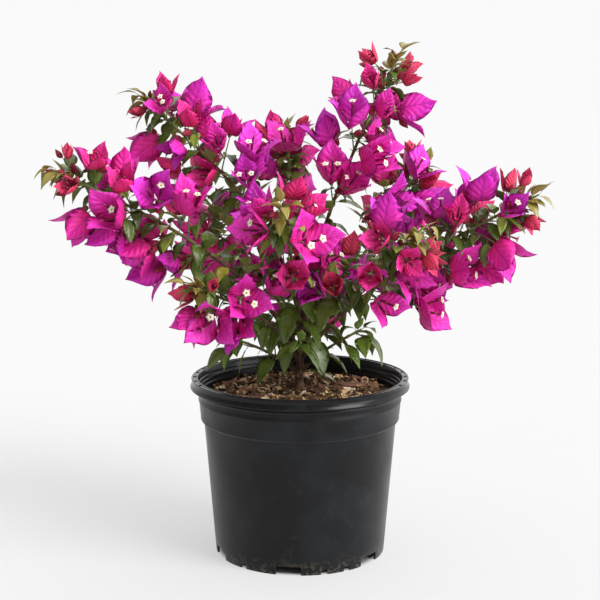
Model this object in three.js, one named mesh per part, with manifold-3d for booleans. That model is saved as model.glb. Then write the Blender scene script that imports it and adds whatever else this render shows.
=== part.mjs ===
// A young bougainvillea bush in a black plastic nursery pot, in full bloom.
//
// A short woody trunk stands in the middle of the potting mix and soon forks into eleven arching boughs. Each
// bough ends where its foliage begins: a stem that carries on along the same arc, with leaves, flowering
// shoots and a tuft of young leaves at its tip. Every bloom is a papery cup of three pointed bracts.
//
// Millimetres, +Z up. The origin is the middle of the pot's flat underside, on the ground, and the front is -Y.
import * as THREE from "three";
import { mergeVertices } from "three/addons/utils/BufferGeometryUtils.js";
import Module from "manifold-3d";

const wasm = await Module();
wasm.setup();

// ---------------------------------------------------------------- Driving dimensions

const GAP = 0.3; // air between two neighbouring pieces

const POT = {
  height: 194,
  rimRadius: 120,
  rimWidth: 7.5, // of the flat top of the lip
  lipHeight: 10, // of the lip's outside
  neckRadius: 110.3, // under the lip
  collarTop: 170, // the collar is the wider band under the neck
  collarBottom: 149,
  collarRadius: 108.9,
  bodyTopRadius: 105.2, // just under the collar
  footRadius: 93.3,
  wall: 2.2,
  floor: 2.6,
  padRadius: 55, // flat pad in the middle of the underside
  channelHeight: 9.5, // drainage channel between the pad and the foot skirt
  sides: 32,
};
// The notches in the foot skirt that let water out, and where they are round it (0 = +X, 90 = +Y).
const NOTCH = { count: 6, width: 27, height: 9.4, firstTurn: -157.6 };
const SMALL_NOTCH = { width: 7, height: 5, turns: [-130, -74, -58, 62, 128] };
const SOIL = { top: 176, seatRadius: 22, moundRadius: 70, moundEdgeTop: 175, edgeTop: 172.5 };
const TRUNK = { height: 60, footX: -1.5, leanX: 2.5, leanY: 1.5, sides: 10 };
const TRUNK_RADIUS = { flare: 2, flareHeight: 5, low: 4.6, top: 3.6 };
const BOUGH = { footRadius: 2.9, tipRadius: 1.35, fullLength: 340, steps: 20, sides: 6, stemSides: 4 };
const SHOOT = { footRadius: 0.85, endRadius: 0.7 };
// fold is how far the edges of a leaf stand up, as a share of its half width. petiole is the leaf's stalk.
const LEAF = { length: 38, width: 21, petiole: 6, thickness: 0.8, fold: 0.3 };
const TUFT = { leaves: 4, size: 0.5, pitch: 3.5, closeness: 1.1, droop: 0.2 };
// spread is from the axis of a bloom to the tip of a bract. The second pair is a bud's.
const BLOOM = { height: 40, spread: 28, budHeight: 30, budSpread: 9 };
// The least distance from the middle of one to the middle of the next, within a mass.
const ROOM = { bloomToBloom: 34, leafToBloom: 23, leafToLeaf: 17 };
const FIRST_NODE = 8; // from the start of a mass to its first bud
const SHOOT_TURNS = [0, 38, -38, 76, -76, 114, -114]; // a shoot with no room tries the next turn

// The boughs: where each leaves the trunk (height over the soil), its heading in plan (0 = +X, 90 = +Y), its
// length with its foliage, how steeply it rises at the foot and at the tip, the turn of its first bud and its seed.
const BOUGHS = [
  { name: "left", foot: 39, heading: 192, length: 328, lean: [65, 26], turn: 110, seed: 147 },
  { name: "upper_left", foot: 47, heading: 163, length: 331, lean: [92, 39], turn: 15, seed: 853 },
  { name: "upper_right", foot: 56, heading: 26, length: 326, lean: [85, 61], turn: 15, seed: 255 },
  { name: "right", foot: 36, heading: 351, length: 303, lean: [53, 28], turn: 315, seed: 561 },
  { name: "front", foot: 50, heading: 263, length: 221, lean: [72, 36], turn: 255, seed: 835 },
  { name: "front_left", foot: 30, heading: 228, length: 188, lean: [60, 20], turn: 185, seed: 26 },
  { name: "front_right", foot: 42, heading: 312, length: 225, lean: [60, 30], turn: 270, seed: 825 },
  { name: "back_left", foot: 33, heading: 134, length: 269, lean: [71, 32], turn: 155, seed: 961 },
  { name: "back", foot: 53, heading: 98, length: 259, lean: [83, 51], turn: 310, seed: 717 },
  { name: "back_right", foot: 44, heading: 46, length: 282, lean: [65, 31], turn: 275, seed: 244 },
  { name: "low_back", foot: 24, heading: 83, length: 189, lean: [46, 19], turn: 325, seed: 941 },
];
const BARE_SHARE = 0.2; // of a bough's length, from the trunk to its foliage
const FLOWERS_FROM = 0.36; // of its length, from where its buds are flowering shoots

// Short stems that fill the middle, two over the fork and the rest low on the trunk, which have leaves only.
const SHORT_STEMS = [
  { name: "inner_left", foot: 27, heading: 233, length: 137, lean: [78, 51], turn: 110, seed: 11 },
  { name: "inner_right", foot: 33, heading: 305, length: 147, lean: [72, 43], turn: 260, seed: 183 },
  { name: "low_front", foot: 19, heading: 271, length: 93, lean: [63, 20], turn: 180, seed: 298, leafy: true },
  { name: "low_left", foot: 15, heading: 200, length: 97, lean: [55, 21], turn: 150, seed: 58, leafy: true },
  { name: "low_right", foot: 17, heading: 339, length: 94, lean: [57, 29], turn: 155, seed: 264, leafy: true },
  { name: "low_rear", foot: 12, heading: 122, length: 83, lean: [55, 30], turn: 230, seed: 2, leafy: true },
];
const SHORT_STEM_FLOWERS_FROM = 0.56;

const GOLDEN_TURN = 137.5; // degrees from one bud to the next round a stem
const NODE_PITCH = { low: 16, tip: 9 }; // between the buds of a limb, at its foot and at its tip
const REACH = { low: 66, tip: 20 }; // of a flowering shoot, at the foot and at the tip of its limb
const LEAFY_REACH = 0.42; // of a leafy twig, as a share of that
const UP = new THREE.Vector3(0, 0, 1);

// ---------------------------------------------------------------- Small helpers

const radians = THREE.MathUtils.degToRad;
const mix = THREE.MathUtils.lerp;
const moved = (point, direction, distance) => point.clone().addScaledVector(direction, distance);
const blend = (...terms) => {
  const sum = new THREE.Vector3();
  for (const [vector, share] of terms) sum.addScaledVector(vector, share);
  return sum.normalize();
};

// Repeatable throws from 0 to 1.
class Dice {
  constructor(seed) {
    this.state = seed;
  }
  roll() {
    this.state = (this.state * 1664525 + 1013904223) % 4294967296;
    return this.state / 4294967296;
  }
  between(low, high) {
    return low + (high - low) * this.roll();
  }
}

function meshGeometry(points, triangles) {
  const flat = points.flatMap((p) => [p.x, p.y, p.z]);
  return new THREE.BufferGeometry()
    .setAttribute("position", new THREE.Float32BufferAttribute(flat, 3))
    .setIndex(triangles.flat());
}

// The closed solid of a geometry, turned face out if it came inside out.
function solidOf(geometry) {
  const bare = geometry.clone();
  bare.deleteAttribute("normal");
  bare.deleteAttribute("uv");
  const merged = mergeVertices(bare, 1e-3);
  const corners = merged.index.array;
  const at = (i) => new THREE.Vector3().fromBufferAttribute(merged.attributes.position, i);
  const triVerts = [];
  let volume = 0;
  for (let i = 0; i < corners.length; i += 3) {
    const [a, b, c] = [corners[i], corners[i + 1], corners[i + 2]];
    if (a === b || b === c || c === a) continue;
    triVerts.push(a, b, c);
    volume += at(a).dot(at(b).cross(at(c)));
  }
  if (volume < 0) triVerts.reverse();
  return new wasm.Manifold(
    new wasm.Mesh({
      numProp: 3,
      vertProperties: merged.attributes.position.array,
      triVerts: new Uint32Array(triVerts),
    }),
  );
}

// One body out of many: only the largest outer skin is kept, so scraps fall away and sealed hollows are filled.
function fused(solids) {
  const bodies = wasm.Manifold.union(solids).decompose();
  return bodies.reduce((best, body) => (body.volume() > best.volume() ? body : best));
}

function geometryOf(solid) {
  const mesh = solid.getMesh();
  const geometry = new THREE.BufferGeometry()
    .setAttribute("position", new THREE.BufferAttribute(new Float32Array(mesh.vertProperties), 3))
    .setIndex(new THREE.BufferAttribute(new Uint32Array(mesh.triVerts), 1));
  geometry.computeVertexNormals();
  return geometry;
}

const bush = new THREE.Group();
function addPiece(name, solid, material) {
  const mesh = new THREE.Mesh(geometryOf(solid), material.clone());
  mesh.name = name;
  bush.add(mesh);
}

// A round limb that tapers along its points, with flat ends.
function taperedTube(points, radii, sides) {
  const corners = [];
  const triangles = [];
  let across = new THREE.Vector3();
  points.forEach((point, i) => {
    const before = points[Math.max(i - 1, 0)];
    const after = points[Math.min(i + 1, points.length - 1)];
    const along = after.clone().sub(before).normalize();
    if (i === 0) across.crossVectors(along, Math.abs(along.z) < 0.9 ? UP : new THREE.Vector3(1, 0, 0));
    across.addScaledVector(along, -across.dot(along)).normalize();
    const lift = new THREE.Vector3().crossVectors(along, across);
    for (let k = 0; k < sides; k++) {
      const angle = (2 * Math.PI * k) / sides;
      const side = moved(point, across, radii[i] * Math.cos(angle));
      corners.push(moved(side, lift, radii[i] * Math.sin(angle)));
    }
  });
  const last = (points.length - 1) * sides;
  for (let i = 0; i < last; i += sides) {
    for (let k = 0; k < sides; k++) {
      const next = (k + 1) % sides;
      triangles.push([i + k, i + next, i + sides + k], [i + next, i + sides + next, i + sides + k]);
    }
  }
  for (let k = 1; k < sides - 1; k++) {
    triangles.push([0, k + 1, k], [last, last + k, last + k + 1]);
  }
  return meshGeometry(corners, triangles);
}

// ---------------------------------------------------------------- Pot and potting mix

// A solid turned about the pot's axis from half outline points [radius, height].
function turned(outline) {
  const profile = outline.map(([radius, z]) => new THREE.Vector2(radius, z));
  return solidOf(new THREE.LatheGeometry(profile, POT.sides).rotateX(Math.PI / 2));
}

const channelTop = POT.channelHeight + POT.floor;
const bodyTop = POT.collarBottom - 3;
const bodyRadius = (z) => mix(POT.footRadius, POT.bodyTopRadius, z / bodyTop);

// The inside of the pot from the neck down to the floor's edge, at a distance in from its surface.
const insideOutline = (inset) => [
  [POT.neckRadius - POT.wall + 0.5 - inset, POT.collarTop + 4],
  [POT.collarRadius - POT.wall + 0.5 - inset, POT.collarBottom + 4],
  [POT.bodyTopRadius - POT.wall - inset, bodyTop],
  [bodyRadius(channelTop) - POT.wall - inset, channelTop + inset],
  [POT.padRadius + 1 - inset, channelTop + inset],
  [POT.padRadius - 2 - inset, POT.floor + inset],
];

function makePot() {
  const lipBottom = POT.height - POT.lipHeight;
  let pot = turned([
    [0, 0],
    [POT.padRadius, 0],
    [POT.padRadius + 3, POT.channelHeight],
    [POT.footRadius - POT.wall, POT.channelHeight],
    [POT.footRadius - POT.wall, 0],
    [POT.footRadius, 0],
    [POT.bodyTopRadius, bodyTop],
    [POT.collarRadius, POT.collarBottom],
    [POT.neckRadius, POT.collarTop - 2],
    [POT.neckRadius + 1.6, POT.collarTop + 1],
    [POT.rimRadius - 1.4, lipBottom - 2],
    [POT.rimRadius, lipBottom + 1],
    [POT.rimRadius - 0.8, POT.height],
    [POT.rimRadius - 0.8 - POT.rimWidth, POT.height],
    [POT.neckRadius, lipBottom],
    ...insideOutline(0),
    [0, POT.floor],
  ]);
  const cutNotch = ({ width, height }, turn) => {
    const [depth, below] = [12, 4];
    const box = new THREE.BoxGeometry(depth, width, height + below);
    box.translate(POT.footRadius + 1, 0, (height - below) / 2).rotateZ(radians(turn));
    pot = pot.subtract(solidOf(box));
  };
  for (let i = 0; i < NOTCH.count; i++) cutNotch(NOTCH, NOTCH.firstTurn + (360 / NOTCH.count) * i);
  for (const turn of SMALL_NOTCH.turns) cutNotch(SMALL_NOTCH, turn);
  return pot;
}

// The mix fills the pot to a low mound with a flat seat for the trunk.
function makePottingMix() {
  return turned([
    [0, POT.floor + GAP],
    ...insideOutline(GAP).slice(1).reverse(),
    [POT.collarRadius - POT.wall + 1 - GAP, SOIL.edgeTop],
    [SOIL.moundRadius, SOIL.moundEdgeTop],
    [SOIL.seatRadius, SOIL.top],
    [0, SOIL.top],
  ]);
}

// ---------------------------------------------------------------- Trunk and boughs

const trunkFoot = SOIL.top + GAP;
const trunkPoint = (height) => {
  const share = height / TRUNK.height;
  return new THREE.Vector3(TRUNK.footX + TRUNK.leanX * share, TRUNK.leanY * share, trunkFoot + height);
};

// The flare at the soil, then a slow taper up to the cut tip.
function trunkRadius(height) {
  const flare = TRUNK_RADIUS.flare * Math.exp(-height / TRUNK_RADIUS.flareHeight);
  return mix(TRUNK_RADIUS.low, TRUNK_RADIUS.top, height / TRUNK.height) + flare;
}

function trunkSolid(extra) {
  const heights = [0, 2, 5, 10, 18, 28, 38, 48, TRUNK.height];
  const radii = heights.map((height) => trunkRadius(height) + extra);
  return solidOf(taperedTube(heights.map(trunkPoint), radii, TRUNK.sides));
}

// The line of a bough and of the stem that carries on from it: steep at the trunk, levelling out as an arc.
function boughPath(bough) {
  const points = [trunkPoint(bough.foot)];
  const step = bough.length / BOUGH.steps;
  const heading = radians(bough.heading);
  const [footLean, tipLean] = bough.lean;
  for (let i = 0; i < BOUGH.steps; i++) {
    const share = (i + 0.5) / BOUGH.steps;
    const lean = radians(tipLean + (footLean - tipLean) * (1 - share) ** 2);
    const flat = Math.cos(lean);
    const way = new THREE.Vector3(Math.cos(heading) * flat, Math.sin(heading) * flat, Math.sin(lean));
    points.push(moved(points[i], way, step));
  }
  return points;
}

// The point and the direction at a distance along a path of equal steps.
function along(path, length, distance) {
  const step = length / (path.length - 1);
  const i = Math.min(Math.floor(distance / step), path.length - 2);
  const way = path[i + 1].clone().sub(path[i]).normalize();
  return { point: moved(path[i], way, distance - i * step), way };
}

// A shorter bough is thinner at its foot.
function boughRadius(bough, distance) {
  const foot = BOUGH.footRadius * Math.sqrt(bough.length / BOUGH.fullLength);
  return mix(foot, BOUGH.tipRadius, Math.sqrt(distance / bough.length));
}

// The stretch of a path between two distances, with the bough's radius at each point.
function stretch(bough, from, to, everySteps) {
  const step = bough.length / BOUGH.steps;
  const distances = [from];
  for (let i = 1; i < BOUGH.steps; i += everySteps) {
    if (i * step > from + step / 4 && i * step < to - step / 4) distances.push(i * step);
  }
  distances.push(to);
  return {
    points: distances.map((distance) => along(bough.path, bough.length, distance).point),
    radii: distances.map((distance) => boughRadius(bough, distance)),
  };
}

// ---------------------------------------------------------------- Where each mass of foliage may grow

const AXIS_SHARES = [0, 0.4, 0.55, 0.7, 0.85, 1]; // the points along a mass that stand for its line
const masses = [...BOUGHS, ...SHORT_STEMS];
for (const mass of masses) {
  const isBough = BOUGHS.includes(mass);
  mass.path = boughPath(mass);
  mass.start = isBough ? BARE_SHARE * mass.length : 0;
  const flowersFrom = isBough ? FLOWERS_FROM : SHORT_STEM_FLOWERS_FROM;
  mass.flowersFrom = mass.leafy ? 1 : flowersFrom;
  const distances = AXIS_SHARES.map((share) => mix(mass.start, mass.length, share));
  mass.axis = distances.map((distance) => along(mass.path, mass.length, distance).point);
}

function distanceToLine(point, line) {
  let best = Infinity;
  for (let i = 0; i + 1 < line.length; i++) {
    const span = line[i + 1].clone().sub(line[i]);
    const offset = point.clone().sub(line[i]);
    const share = THREE.MathUtils.clamp(offset.dot(span) / span.lengthSq(), 0, 1);
    best = Math.min(best, offset.addScaledVector(span, -share).length());
  }
  return best;
}

const limbLines = BOUGHS.map((bough) => stretch(bough, 0, bough.start, 1).points);
const trunkLine = [trunkPoint(0), trunkPoint(TRUNK.height)];

// A leaf edge keeps these distances.
const CLEAR = {
  space: 1.6, // nearer to its own stem than to any other
  limb: BOUGH.footRadius + 2.2,
  trunk: TRUNK_RADIUS.low + 2.2,
  soil: 5,
  rim: 4,
};

function touchesPot(point) {
  if (point.z < SOIL.top + CLEAR.soil) return true;
  const radius = Math.hypot(point.x, point.y);
  const overWall = radius > POT.collarRadius - 13 && radius < POT.rimRadius + 6;
  return overWall && point.z < POT.height + CLEAR.rim;
}

// True if every point is nearer to this mass's stem than to any other, and clear of the limbs and the pot.
function fitsIn(mass, points) {
  return points.every((point) => {
    if (touchesPot(point)) return false;
    const own = distanceToLine(point, mass.axis) + CLEAR.space;
    if (masses.some((other) => other !== mass && distanceToLine(point, other.axis) < own)) return false;
    if (distanceToLine(point, trunkLine) < CLEAR.trunk) return false;
    return limbLines.every((line) => distanceToLine(point, line) > CLEAR.limb);
  });
}

// ---------------------------------------------------------------- Leaves and blooms

// A leaf rises on its stalk and arches over: a blade folded a little along its midrib. droop is 0 for a level
// leaf and 1 for one that hangs.
function makeLeaf(root, out, size, droop) {
  const across = new THREE.Vector3().crossVectors(out, UP).normalize();
  const rise = blend([out, 1], [UP, 0.25 - 0.3 * droop]);
  const fall = blend([out, 1 - 0.6 * droop], [UP, -0.2 - 0.8 * droop]);
  const bladeFoot = moved(root, rise, LEAF.petiole * size);
  const waist = moved(bladeFoot, blend([rise, 1], [fall, 1]), 0.38 * LEAF.length * size);
  const tip = moved(waist, fall, 0.62 * LEAF.length * size);
  const face = new THREE.Vector3().crossVectors(across, tip.clone().sub(root)).normalize();
  if (face.z < 0) face.negate();
  const half = (LEAF.width / 2) * size;
  const left = moved(moved(waist, across, half), face, LEAF.fold * half);
  const right = moved(moved(waist, across, -half), face, LEAF.fold * half);
  const upper = moved(waist, face, LEAF.thickness / 2);
  const lower = moved(waist, face, -LEAF.thickness / 2);
  const corners = [root, left, tip, right, upper, lower];
  const triangles = [0, 1, 2, 3].flatMap((i) => [
    [i, (i + 1) % 4, 4],
    [(i + 1) % 4, i, 5],
  ]);
  return {
    centre: waist,
    outline: [waist, tip, left, right, waist.clone().lerp(tip, 0.5)],
    geometry: () => meshGeometry(corners, triangles),
  };
}

// A bloom and its stalk: three pointed bracts that meet at their edges in a cup. openness is 0 for a bud and 1
// for a wide star.
function makeBloom(root, top, axis, size, spin, openness) {
  const seat = Math.abs(axis.z) < 0.95 ? UP : new THREE.Vector3(1, 0, 0);
  const side = new THREE.Vector3().crossVectors(axis, seat).normalize();
  const lift = new THREE.Vector3().crossVectors(side, axis);
  const ray = (turn) => blend([side, Math.cos(radians(turn))], [lift, Math.sin(radians(turn))]);
  const at = (turn, height, radius) => moved(moved(top, axis, height), ray(turn), radius);
  const height = mix(BLOOM.budHeight, BLOOM.height, openness) * size;
  const spread = mix(BLOOM.budSpread, BLOOM.spread, openness) * size;
  const belly = 0.5 * spread + 3 * size;
  const points = [];
  for (let k = 0; k < 3; k++) points.push(moved(root, ray(spin + 120 * k), SHOOT.footRadius));
  for (let k = 0; k < 3; k++) points.push(moved(top, ray(spin + 120 * k), SHOOT.endRadius));
  for (let k = 0; k < 3; k++) {
    const turn = spin + 120 * k;
    points.push(at(turn, 0.34 * height, belly));
    points.push(at(turn + 60, 0.6 * height, 0.95 * belly));
    points.push(at(turn, height, spread));
  }
  points.push(at(0, 0.14 * height, 0));
  const heart = points.length - 1;
  const triangles = [[0, 2, 1]];
  for (let k = 0; k < 3; k++) {
    const next = (k + 1) % 3;
    const [neck, nextNeck] = [3 + k, 3 + next];
    const [rib, edge, tip] = [6 + 3 * k, 7 + 3 * k, 8 + 3 * k];
    const [nextRib, nextTip] = [6 + 3 * next, 8 + 3 * next];
    triangles.push([k, next, neck], [next, nextNeck, neck]);
    triangles.push([neck, edge, rib], [neck, nextNeck, edge], [nextNeck, nextRib, edge]);
    triangles.push([rib, edge, tip], [edge, nextRib, nextTip], [heart, tip, edge], [heart, edge, nextTip]);
  }
  return {
    centre: at(0, 0.45 * height, 0),
    outline: points.slice(6, heart),
    geometry: () => meshGeometry(points, triangles),
  };
}

// ---------------------------------------------------------------- The growing rule

// The direction square out of a stem that runs along way, at a turn round it.
function roundStem(way, turn) {
  const side = new THREE.Vector3().crossVectors(way, UP).normalize();
  const over = new THREE.Vector3().crossVectors(side, way);
  return blend([side, Math.cos(radians(turn))], [over, Math.sin(radians(turn))]);
}

// Grows one mass: a bud at every node of its stem, each a golden turn round from the last. Low on the limb a bud
// is a leafy twig, and farther out it is a flowering shoot. Each node also has a leaf on the far side.
function grow(mass) {
  const dice = new Dice(mass.seed);
  const leaves = [];
  const blooms = [];
  const twigs = [];
  const far = (list, point, room) => list.every((other) => other.centre.distanceTo(point) > room);

  function addLeaf(root, out, size, droop) {
    const leaf = makeLeaf(root, out, size, droop);
    const leafRoom = ROOM.leafToLeaf * size;
    const free = far(blooms, leaf.centre, ROOM.leafToBloom) && far(leaves, leaf.centre, leafRoom);
    if (free && fitsIn(mass, leaf.outline)) leaves.push(leaf);
  }

  function addBloom(root, way, reach, lift, size, openness) {
    const end = moved(root, way, reach);
    const axis = blend([way, 1], [UP, lift]);
    const bloom = makeBloom(root, end, axis, size, 120 * dice.roll(), openness);
    const { centre } = bloom;
    const free = far(blooms, centre, ROOM.bloomToBloom) && far(leaves, centre, ROOM.leafToBloom);
    if (!free || !fitsIn(mass, [...bloom.outline, end])) return false;
    blooms.push(bloom);
    return true;
  }

  let distance = mass.start + FIRST_NODE;
  for (let node = 0; distance < mass.length - FIRST_NODE; node++) {
    const share = distance / mass.length;
    const { point, way } = along(mass.path, mass.length, distance);
    const around = (extra) => roundStem(way, mass.turn + GOLDEN_TURN * node + extra);
    const reach = mix(REACH.low, REACH.tip, share) * dice.between(0.8, 1.2);
    const lift = dice.between(-0.45, 0.6);
    const ripeness = THREE.MathUtils.clamp(1.9 - 1.3 * share + dice.between(-0.6, 0.4), 0, 1);
    const hasTwin = dice.roll() < 0.5;
    const droop = dice.roll();
    if (share > mass.flowersFrom) {
      for (const extra of SHOOT_TURNS) {
        const out = blend([way, 0.5], [around(extra), 0.9], [UP, 0.1]);
        if (!addBloom(point, out, reach, lift, mix(0.8, 1, ripeness), ripeness)) continue;
        const fork = moved(point, out, 0.35 * reach);
        if (hasTwin) {
          const away = blend([out, 0.55], [around(extra + 100), 0.85]);
          addBloom(fork, away, 0.6 * reach, -lift, mix(0.75, 0.95, ripeness), ripeness);
        }
        addLeaf(fork, blend([out, 0.4], [around(extra - 90), 0.9]), 0.7, droop);
        break;
      }
    } else if (node % 2 === 0) {
      const out = blend([way, 0.5], [around(0), 0.9], [UP, 0.1]);
      const end = moved(point, out, LEAFY_REACH * reach);
      const fork = point.clone().lerp(end, 0.6);
      if (fitsIn(mass, [end, fork])) {
        twigs.push([point, end]);
        addLeaf(point.clone().lerp(end, 0.9), out, 0.95, droop);
        addLeaf(fork, blend([out, 0.3], [around(80), 0.9]), 0.85, 1 - droop);
        addLeaf(fork, blend([out, 0.3], [around(-80), 0.9]), 0.85, droop);
      }
    }
    addLeaf(point, blend([way, 0.25], [around(180), 0.9], [UP, 0.1]), mix(1.05, 0.7, share), droop);
    distance += mix(NODE_PITCH.low, NODE_PITCH.tip, share);
  }

  // The young tuft at the tip.
  for (let i = 0; i < TUFT.leaves; i++) {
    const { point, way } = along(mass.path, mass.length, mass.length - 1 - TUFT.pitch * i);
    const out = blend([way, TUFT.closeness], [roundStem(way, mass.turn + GOLDEN_TURN * i), 1]);
    leaves.push(makeLeaf(point, out, TUFT.size, TUFT.droop));
  }
  return { leaves, blooms, twigs };
}

// ---------------------------------------------------------------- Materials

const finish = (color, roughness) => new THREE.MeshStandardMaterial({ color, roughness, metalness: 0 });
const blackPlastic = finish(0x26282b, 0.45);
const pottingMix = finish(0x4a3526, 0.95);
const bark = finish(0x5b4434, 0.85);
const bloomingFoliage = finish(0xa31a8c, 0.6);
const leafyFoliage = finish(0x37532a, 0.5);

// ---------------------------------------------------------------- Assembly

addPiece("pot", makePot(), blackPlastic);
addPiece("potting_mix", makePottingMix(), pottingMix);
addPiece("trunk", trunkSolid(0), bark);

// Each bough is cut clear of the trunk and of the boughs made before it, with room for its own facets.
let limbsSoFar = trunkSolid(GAP);
for (const bough of BOUGHS) {
  const limb = stretch(bough, 0, bough.start - GAP / 2, 1);
  const solid = solidOf(taperedTube(limb.points, limb.radii, BOUGH.sides));
  addPiece(`bough_${bough.name}`, fused([solid.subtract(limbsSoFar)]), bark);
  const grownRadii = limb.radii.map((radius) => radius + 1.3 * GAP);
  limbsSoFar = limbsSoFar.add(solidOf(taperedTube(limb.points, grownRadii, BOUGH.sides)));
}

// Each mass is fused to its stem. A short stem starts inside the trunk, so it is cut clear of it.
for (const mass of masses) {
  const grown = grow(mass);
  const stem = stretch(mass, mass.start + GAP / 2, mass.length, 2);
  const twigRadii = [SHOOT.footRadius, SHOOT.endRadius];
  let solid = fused([
    solidOf(taperedTube(stem.points, stem.radii, BOUGH.stemSides)),
    ...grown.twigs.map((twig) => solidOf(taperedTube(twig, twigRadii, 3))),
    ...[...grown.leaves, ...grown.blooms].map((part) => solidOf(part.geometry())),
  ]);
  if (SHORT_STEMS.includes(mass)) solid = fused([solid.subtract(limbsSoFar)]);
  addPiece(`foliage_${mass.name}`, solid, mass.leafy ? leafyFoliage : bloomingFoliage);
}

export default bush;
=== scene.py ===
"""A young bougainvillea bush in full bloom, standing in its black plastic nursery pot.

The sections follow the real thing as it is put together: the pot, the potting mix, the woody trunk and boughs,
the rule that the shoots grow by, then the stems, leaves, bracts, flowers and buds, and last the studio.
Shapes are worked out in millimetres and stored in metres.
"""

import math

import bpy
import numpy as np
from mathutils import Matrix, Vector, noise


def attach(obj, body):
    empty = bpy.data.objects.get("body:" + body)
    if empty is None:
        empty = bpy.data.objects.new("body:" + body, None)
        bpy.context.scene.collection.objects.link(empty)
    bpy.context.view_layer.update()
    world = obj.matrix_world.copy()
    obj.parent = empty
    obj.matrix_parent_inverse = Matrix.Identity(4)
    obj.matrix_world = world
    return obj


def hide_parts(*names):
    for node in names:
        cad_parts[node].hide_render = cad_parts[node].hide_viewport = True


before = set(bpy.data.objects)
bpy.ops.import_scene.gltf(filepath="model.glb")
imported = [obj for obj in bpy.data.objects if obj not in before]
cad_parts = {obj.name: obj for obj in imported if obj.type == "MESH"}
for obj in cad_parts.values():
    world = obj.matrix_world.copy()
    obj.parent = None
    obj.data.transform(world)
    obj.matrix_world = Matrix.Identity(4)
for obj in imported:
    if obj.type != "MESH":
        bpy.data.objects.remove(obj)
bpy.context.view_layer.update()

# ---------------------------------------------------------------- Pot
# A nursery pot injection moulded in black polyethylene: one thin tapered wall under a stiff turned-out lip, a
# collar to nest by, and a foot skirt notched all round so that water runs out. The lip's flat top has short slots.

MM = 0.001
POT_HEIGHT, RIM_RADIUS, RIM_WIDTH = 194, 120, 7.5
NECK_RADIUS, COLLAR_RADIUS, BODY_TOP_RADIUS, FOOT_RADIUS = 110.3, 108.9, 105.2, 93.3
LIP_BOTTOM, COLLAR_TOP, COLLAR_BOTTOM, BODY_TOP = 184, 170, 149, 146
WALL, FLOOR, PAD_RADIUS, CHANNEL_HEIGHT = 2.2, 2.6, 55, 9.5
FLOOR_EDGE = CHANNEL_HEIGHT + FLOOR
NOTCH_TURNS = [-157.6 + 60 * i for i in range(6)]
SMALL_NOTCH_TURNS = [-130, -74, -58, 62, 128]
RIM_SLOT_TURNS = [turn + 11 * i for turn in (-22, 148) for i in range(6)]
MOULD_MARK_TURN = 264


def make_active(piece):
    """Selects one piece alone."""
    bpy.ops.object.select_all(action="DESELECT")
    piece.select_set(True)
    bpy.context.view_layer.objects.active = piece


def apply_modifier(piece, kind, **settings):
    """Adds one modifier to a piece and applies it at once."""
    make_active(piece)
    modifier = piece.modifiers.new(kind.lower(), kind)
    for setting, value in settings.items():
        setattr(modifier, setting, value)
    bpy.ops.object.modifier_apply(modifier=modifier.name)


def turned(name, outline, steps):
    """A closed piece spun about the pot's axis from half outline points [radius, height]."""
    mesh = bpy.data.meshes.new(name)
    corners = [(radius * MM, 0, height * MM) for radius, height in outline]
    mesh.from_pydata(corners, [(i, i + 1) for i in range(len(corners) - 1)], [])
    piece = bpy.data.objects.new(name, mesh)
    bpy.context.scene.collection.objects.link(piece)
    make_active(piece)
    bpy.ops.object.mode_set(mode="EDIT")
    bpy.ops.mesh.select_all(action="SELECT")
    bpy.ops.mesh.spin(steps=steps, angle=2 * math.pi, center=(0, 0, 0), axis=(0, 0, 1))
    bpy.ops.mesh.select_all(action="SELECT")
    bpy.ops.mesh.remove_doubles(threshold=1e-6)
    bpy.ops.mesh.normals_make_consistent(inside=False)
    bpy.ops.object.mode_set(mode="OBJECT")
    return piece


def body_radius(height):
    return FOOT_RADIUS + (BODY_TOP_RADIUS - FOOT_RADIUS) * height / BODY_TOP


# The half outline, from the middle of the underside round to the inside: a radius and a height, then steps from it.
pot_outline = []
for radius, height, *steps in (
    (PAD_RADIUS, 0, (-PAD_RADIUS, 0), (0, 0), (3, CHANNEL_HEIGHT)),
    (FOOT_RADIUS, 0, (-WALL, CHANNEL_HEIGHT + 1.6), (-WALL, 0), (0, 0)),
    *[(body_radius(height), height, (0, 0)) for height in (11, 12.5, 20, 45, 70, 95, 120, BODY_TOP)],
    (BODY_TOP_RADIUS, COLLAR_BOTTOM, (0.8, -1.8)),
    (COLLAR_RADIUS, COLLAR_BOTTOM, (-0.5, -0.8), (0, 0.2), (-0.1, 1.3)),
    (NECK_RADIUS, COLLAR_TOP, (0.2, -1.5), (0.9, -0.4), (0.8, 0.9), (0.2, 3), (0.3, 7.4)),
    (NECK_RADIUS, LIP_BOTTOM, (3.2, -5), (3.8, -3.8), (3.2, -2.6), (3.4, 1.2)),
    (RIM_RADIUS, LIP_BOTTOM, (-1.4, -0.4), (-0.3, -0.5), (0, 0.6), (-0.9, 2.2), (-1.9, 4.4)),
    (RIM_RADIUS, POT_HEIGHT, (-1.9, -2.2), (-1.3, -0.6), (-2.1, 0), (-2.8, -0.9)),
    (RIM_RADIUS - RIM_WIDTH, POT_HEIGHT, (0.9, -0.9), (0.3, -0.1), (-0.5, -0.2), (-1, -1.2)),
    (NECK_RADIUS, LIP_BOTTOM, (0.7, 3), (-0.1, 2.2), (-0.7, -1), (-1.5, -1.8)),
    (NECK_RADIUS - WALL, COLLAR_TOP, (0.6, 9), (-0.5, 7.6)),
    (COLLAR_RADIUS - WALL, COLLAR_BOTTOM, (0.5, 4)),
    (BODY_TOP_RADIUS - WALL, BODY_TOP, (0, 0)),
    (body_radius(FLOOR_EDGE) - WALL, FLOOR_EDGE, (0, 0)),
    (PAD_RADIUS, FLOOR_EDGE, (1, 0)),
    (PAD_RADIUS, FLOOR, (-2, 0), (-PAD_RADIUS, 0)),
):
    pot_outline += [(radius + out, height + up) for out, up in steps]
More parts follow.
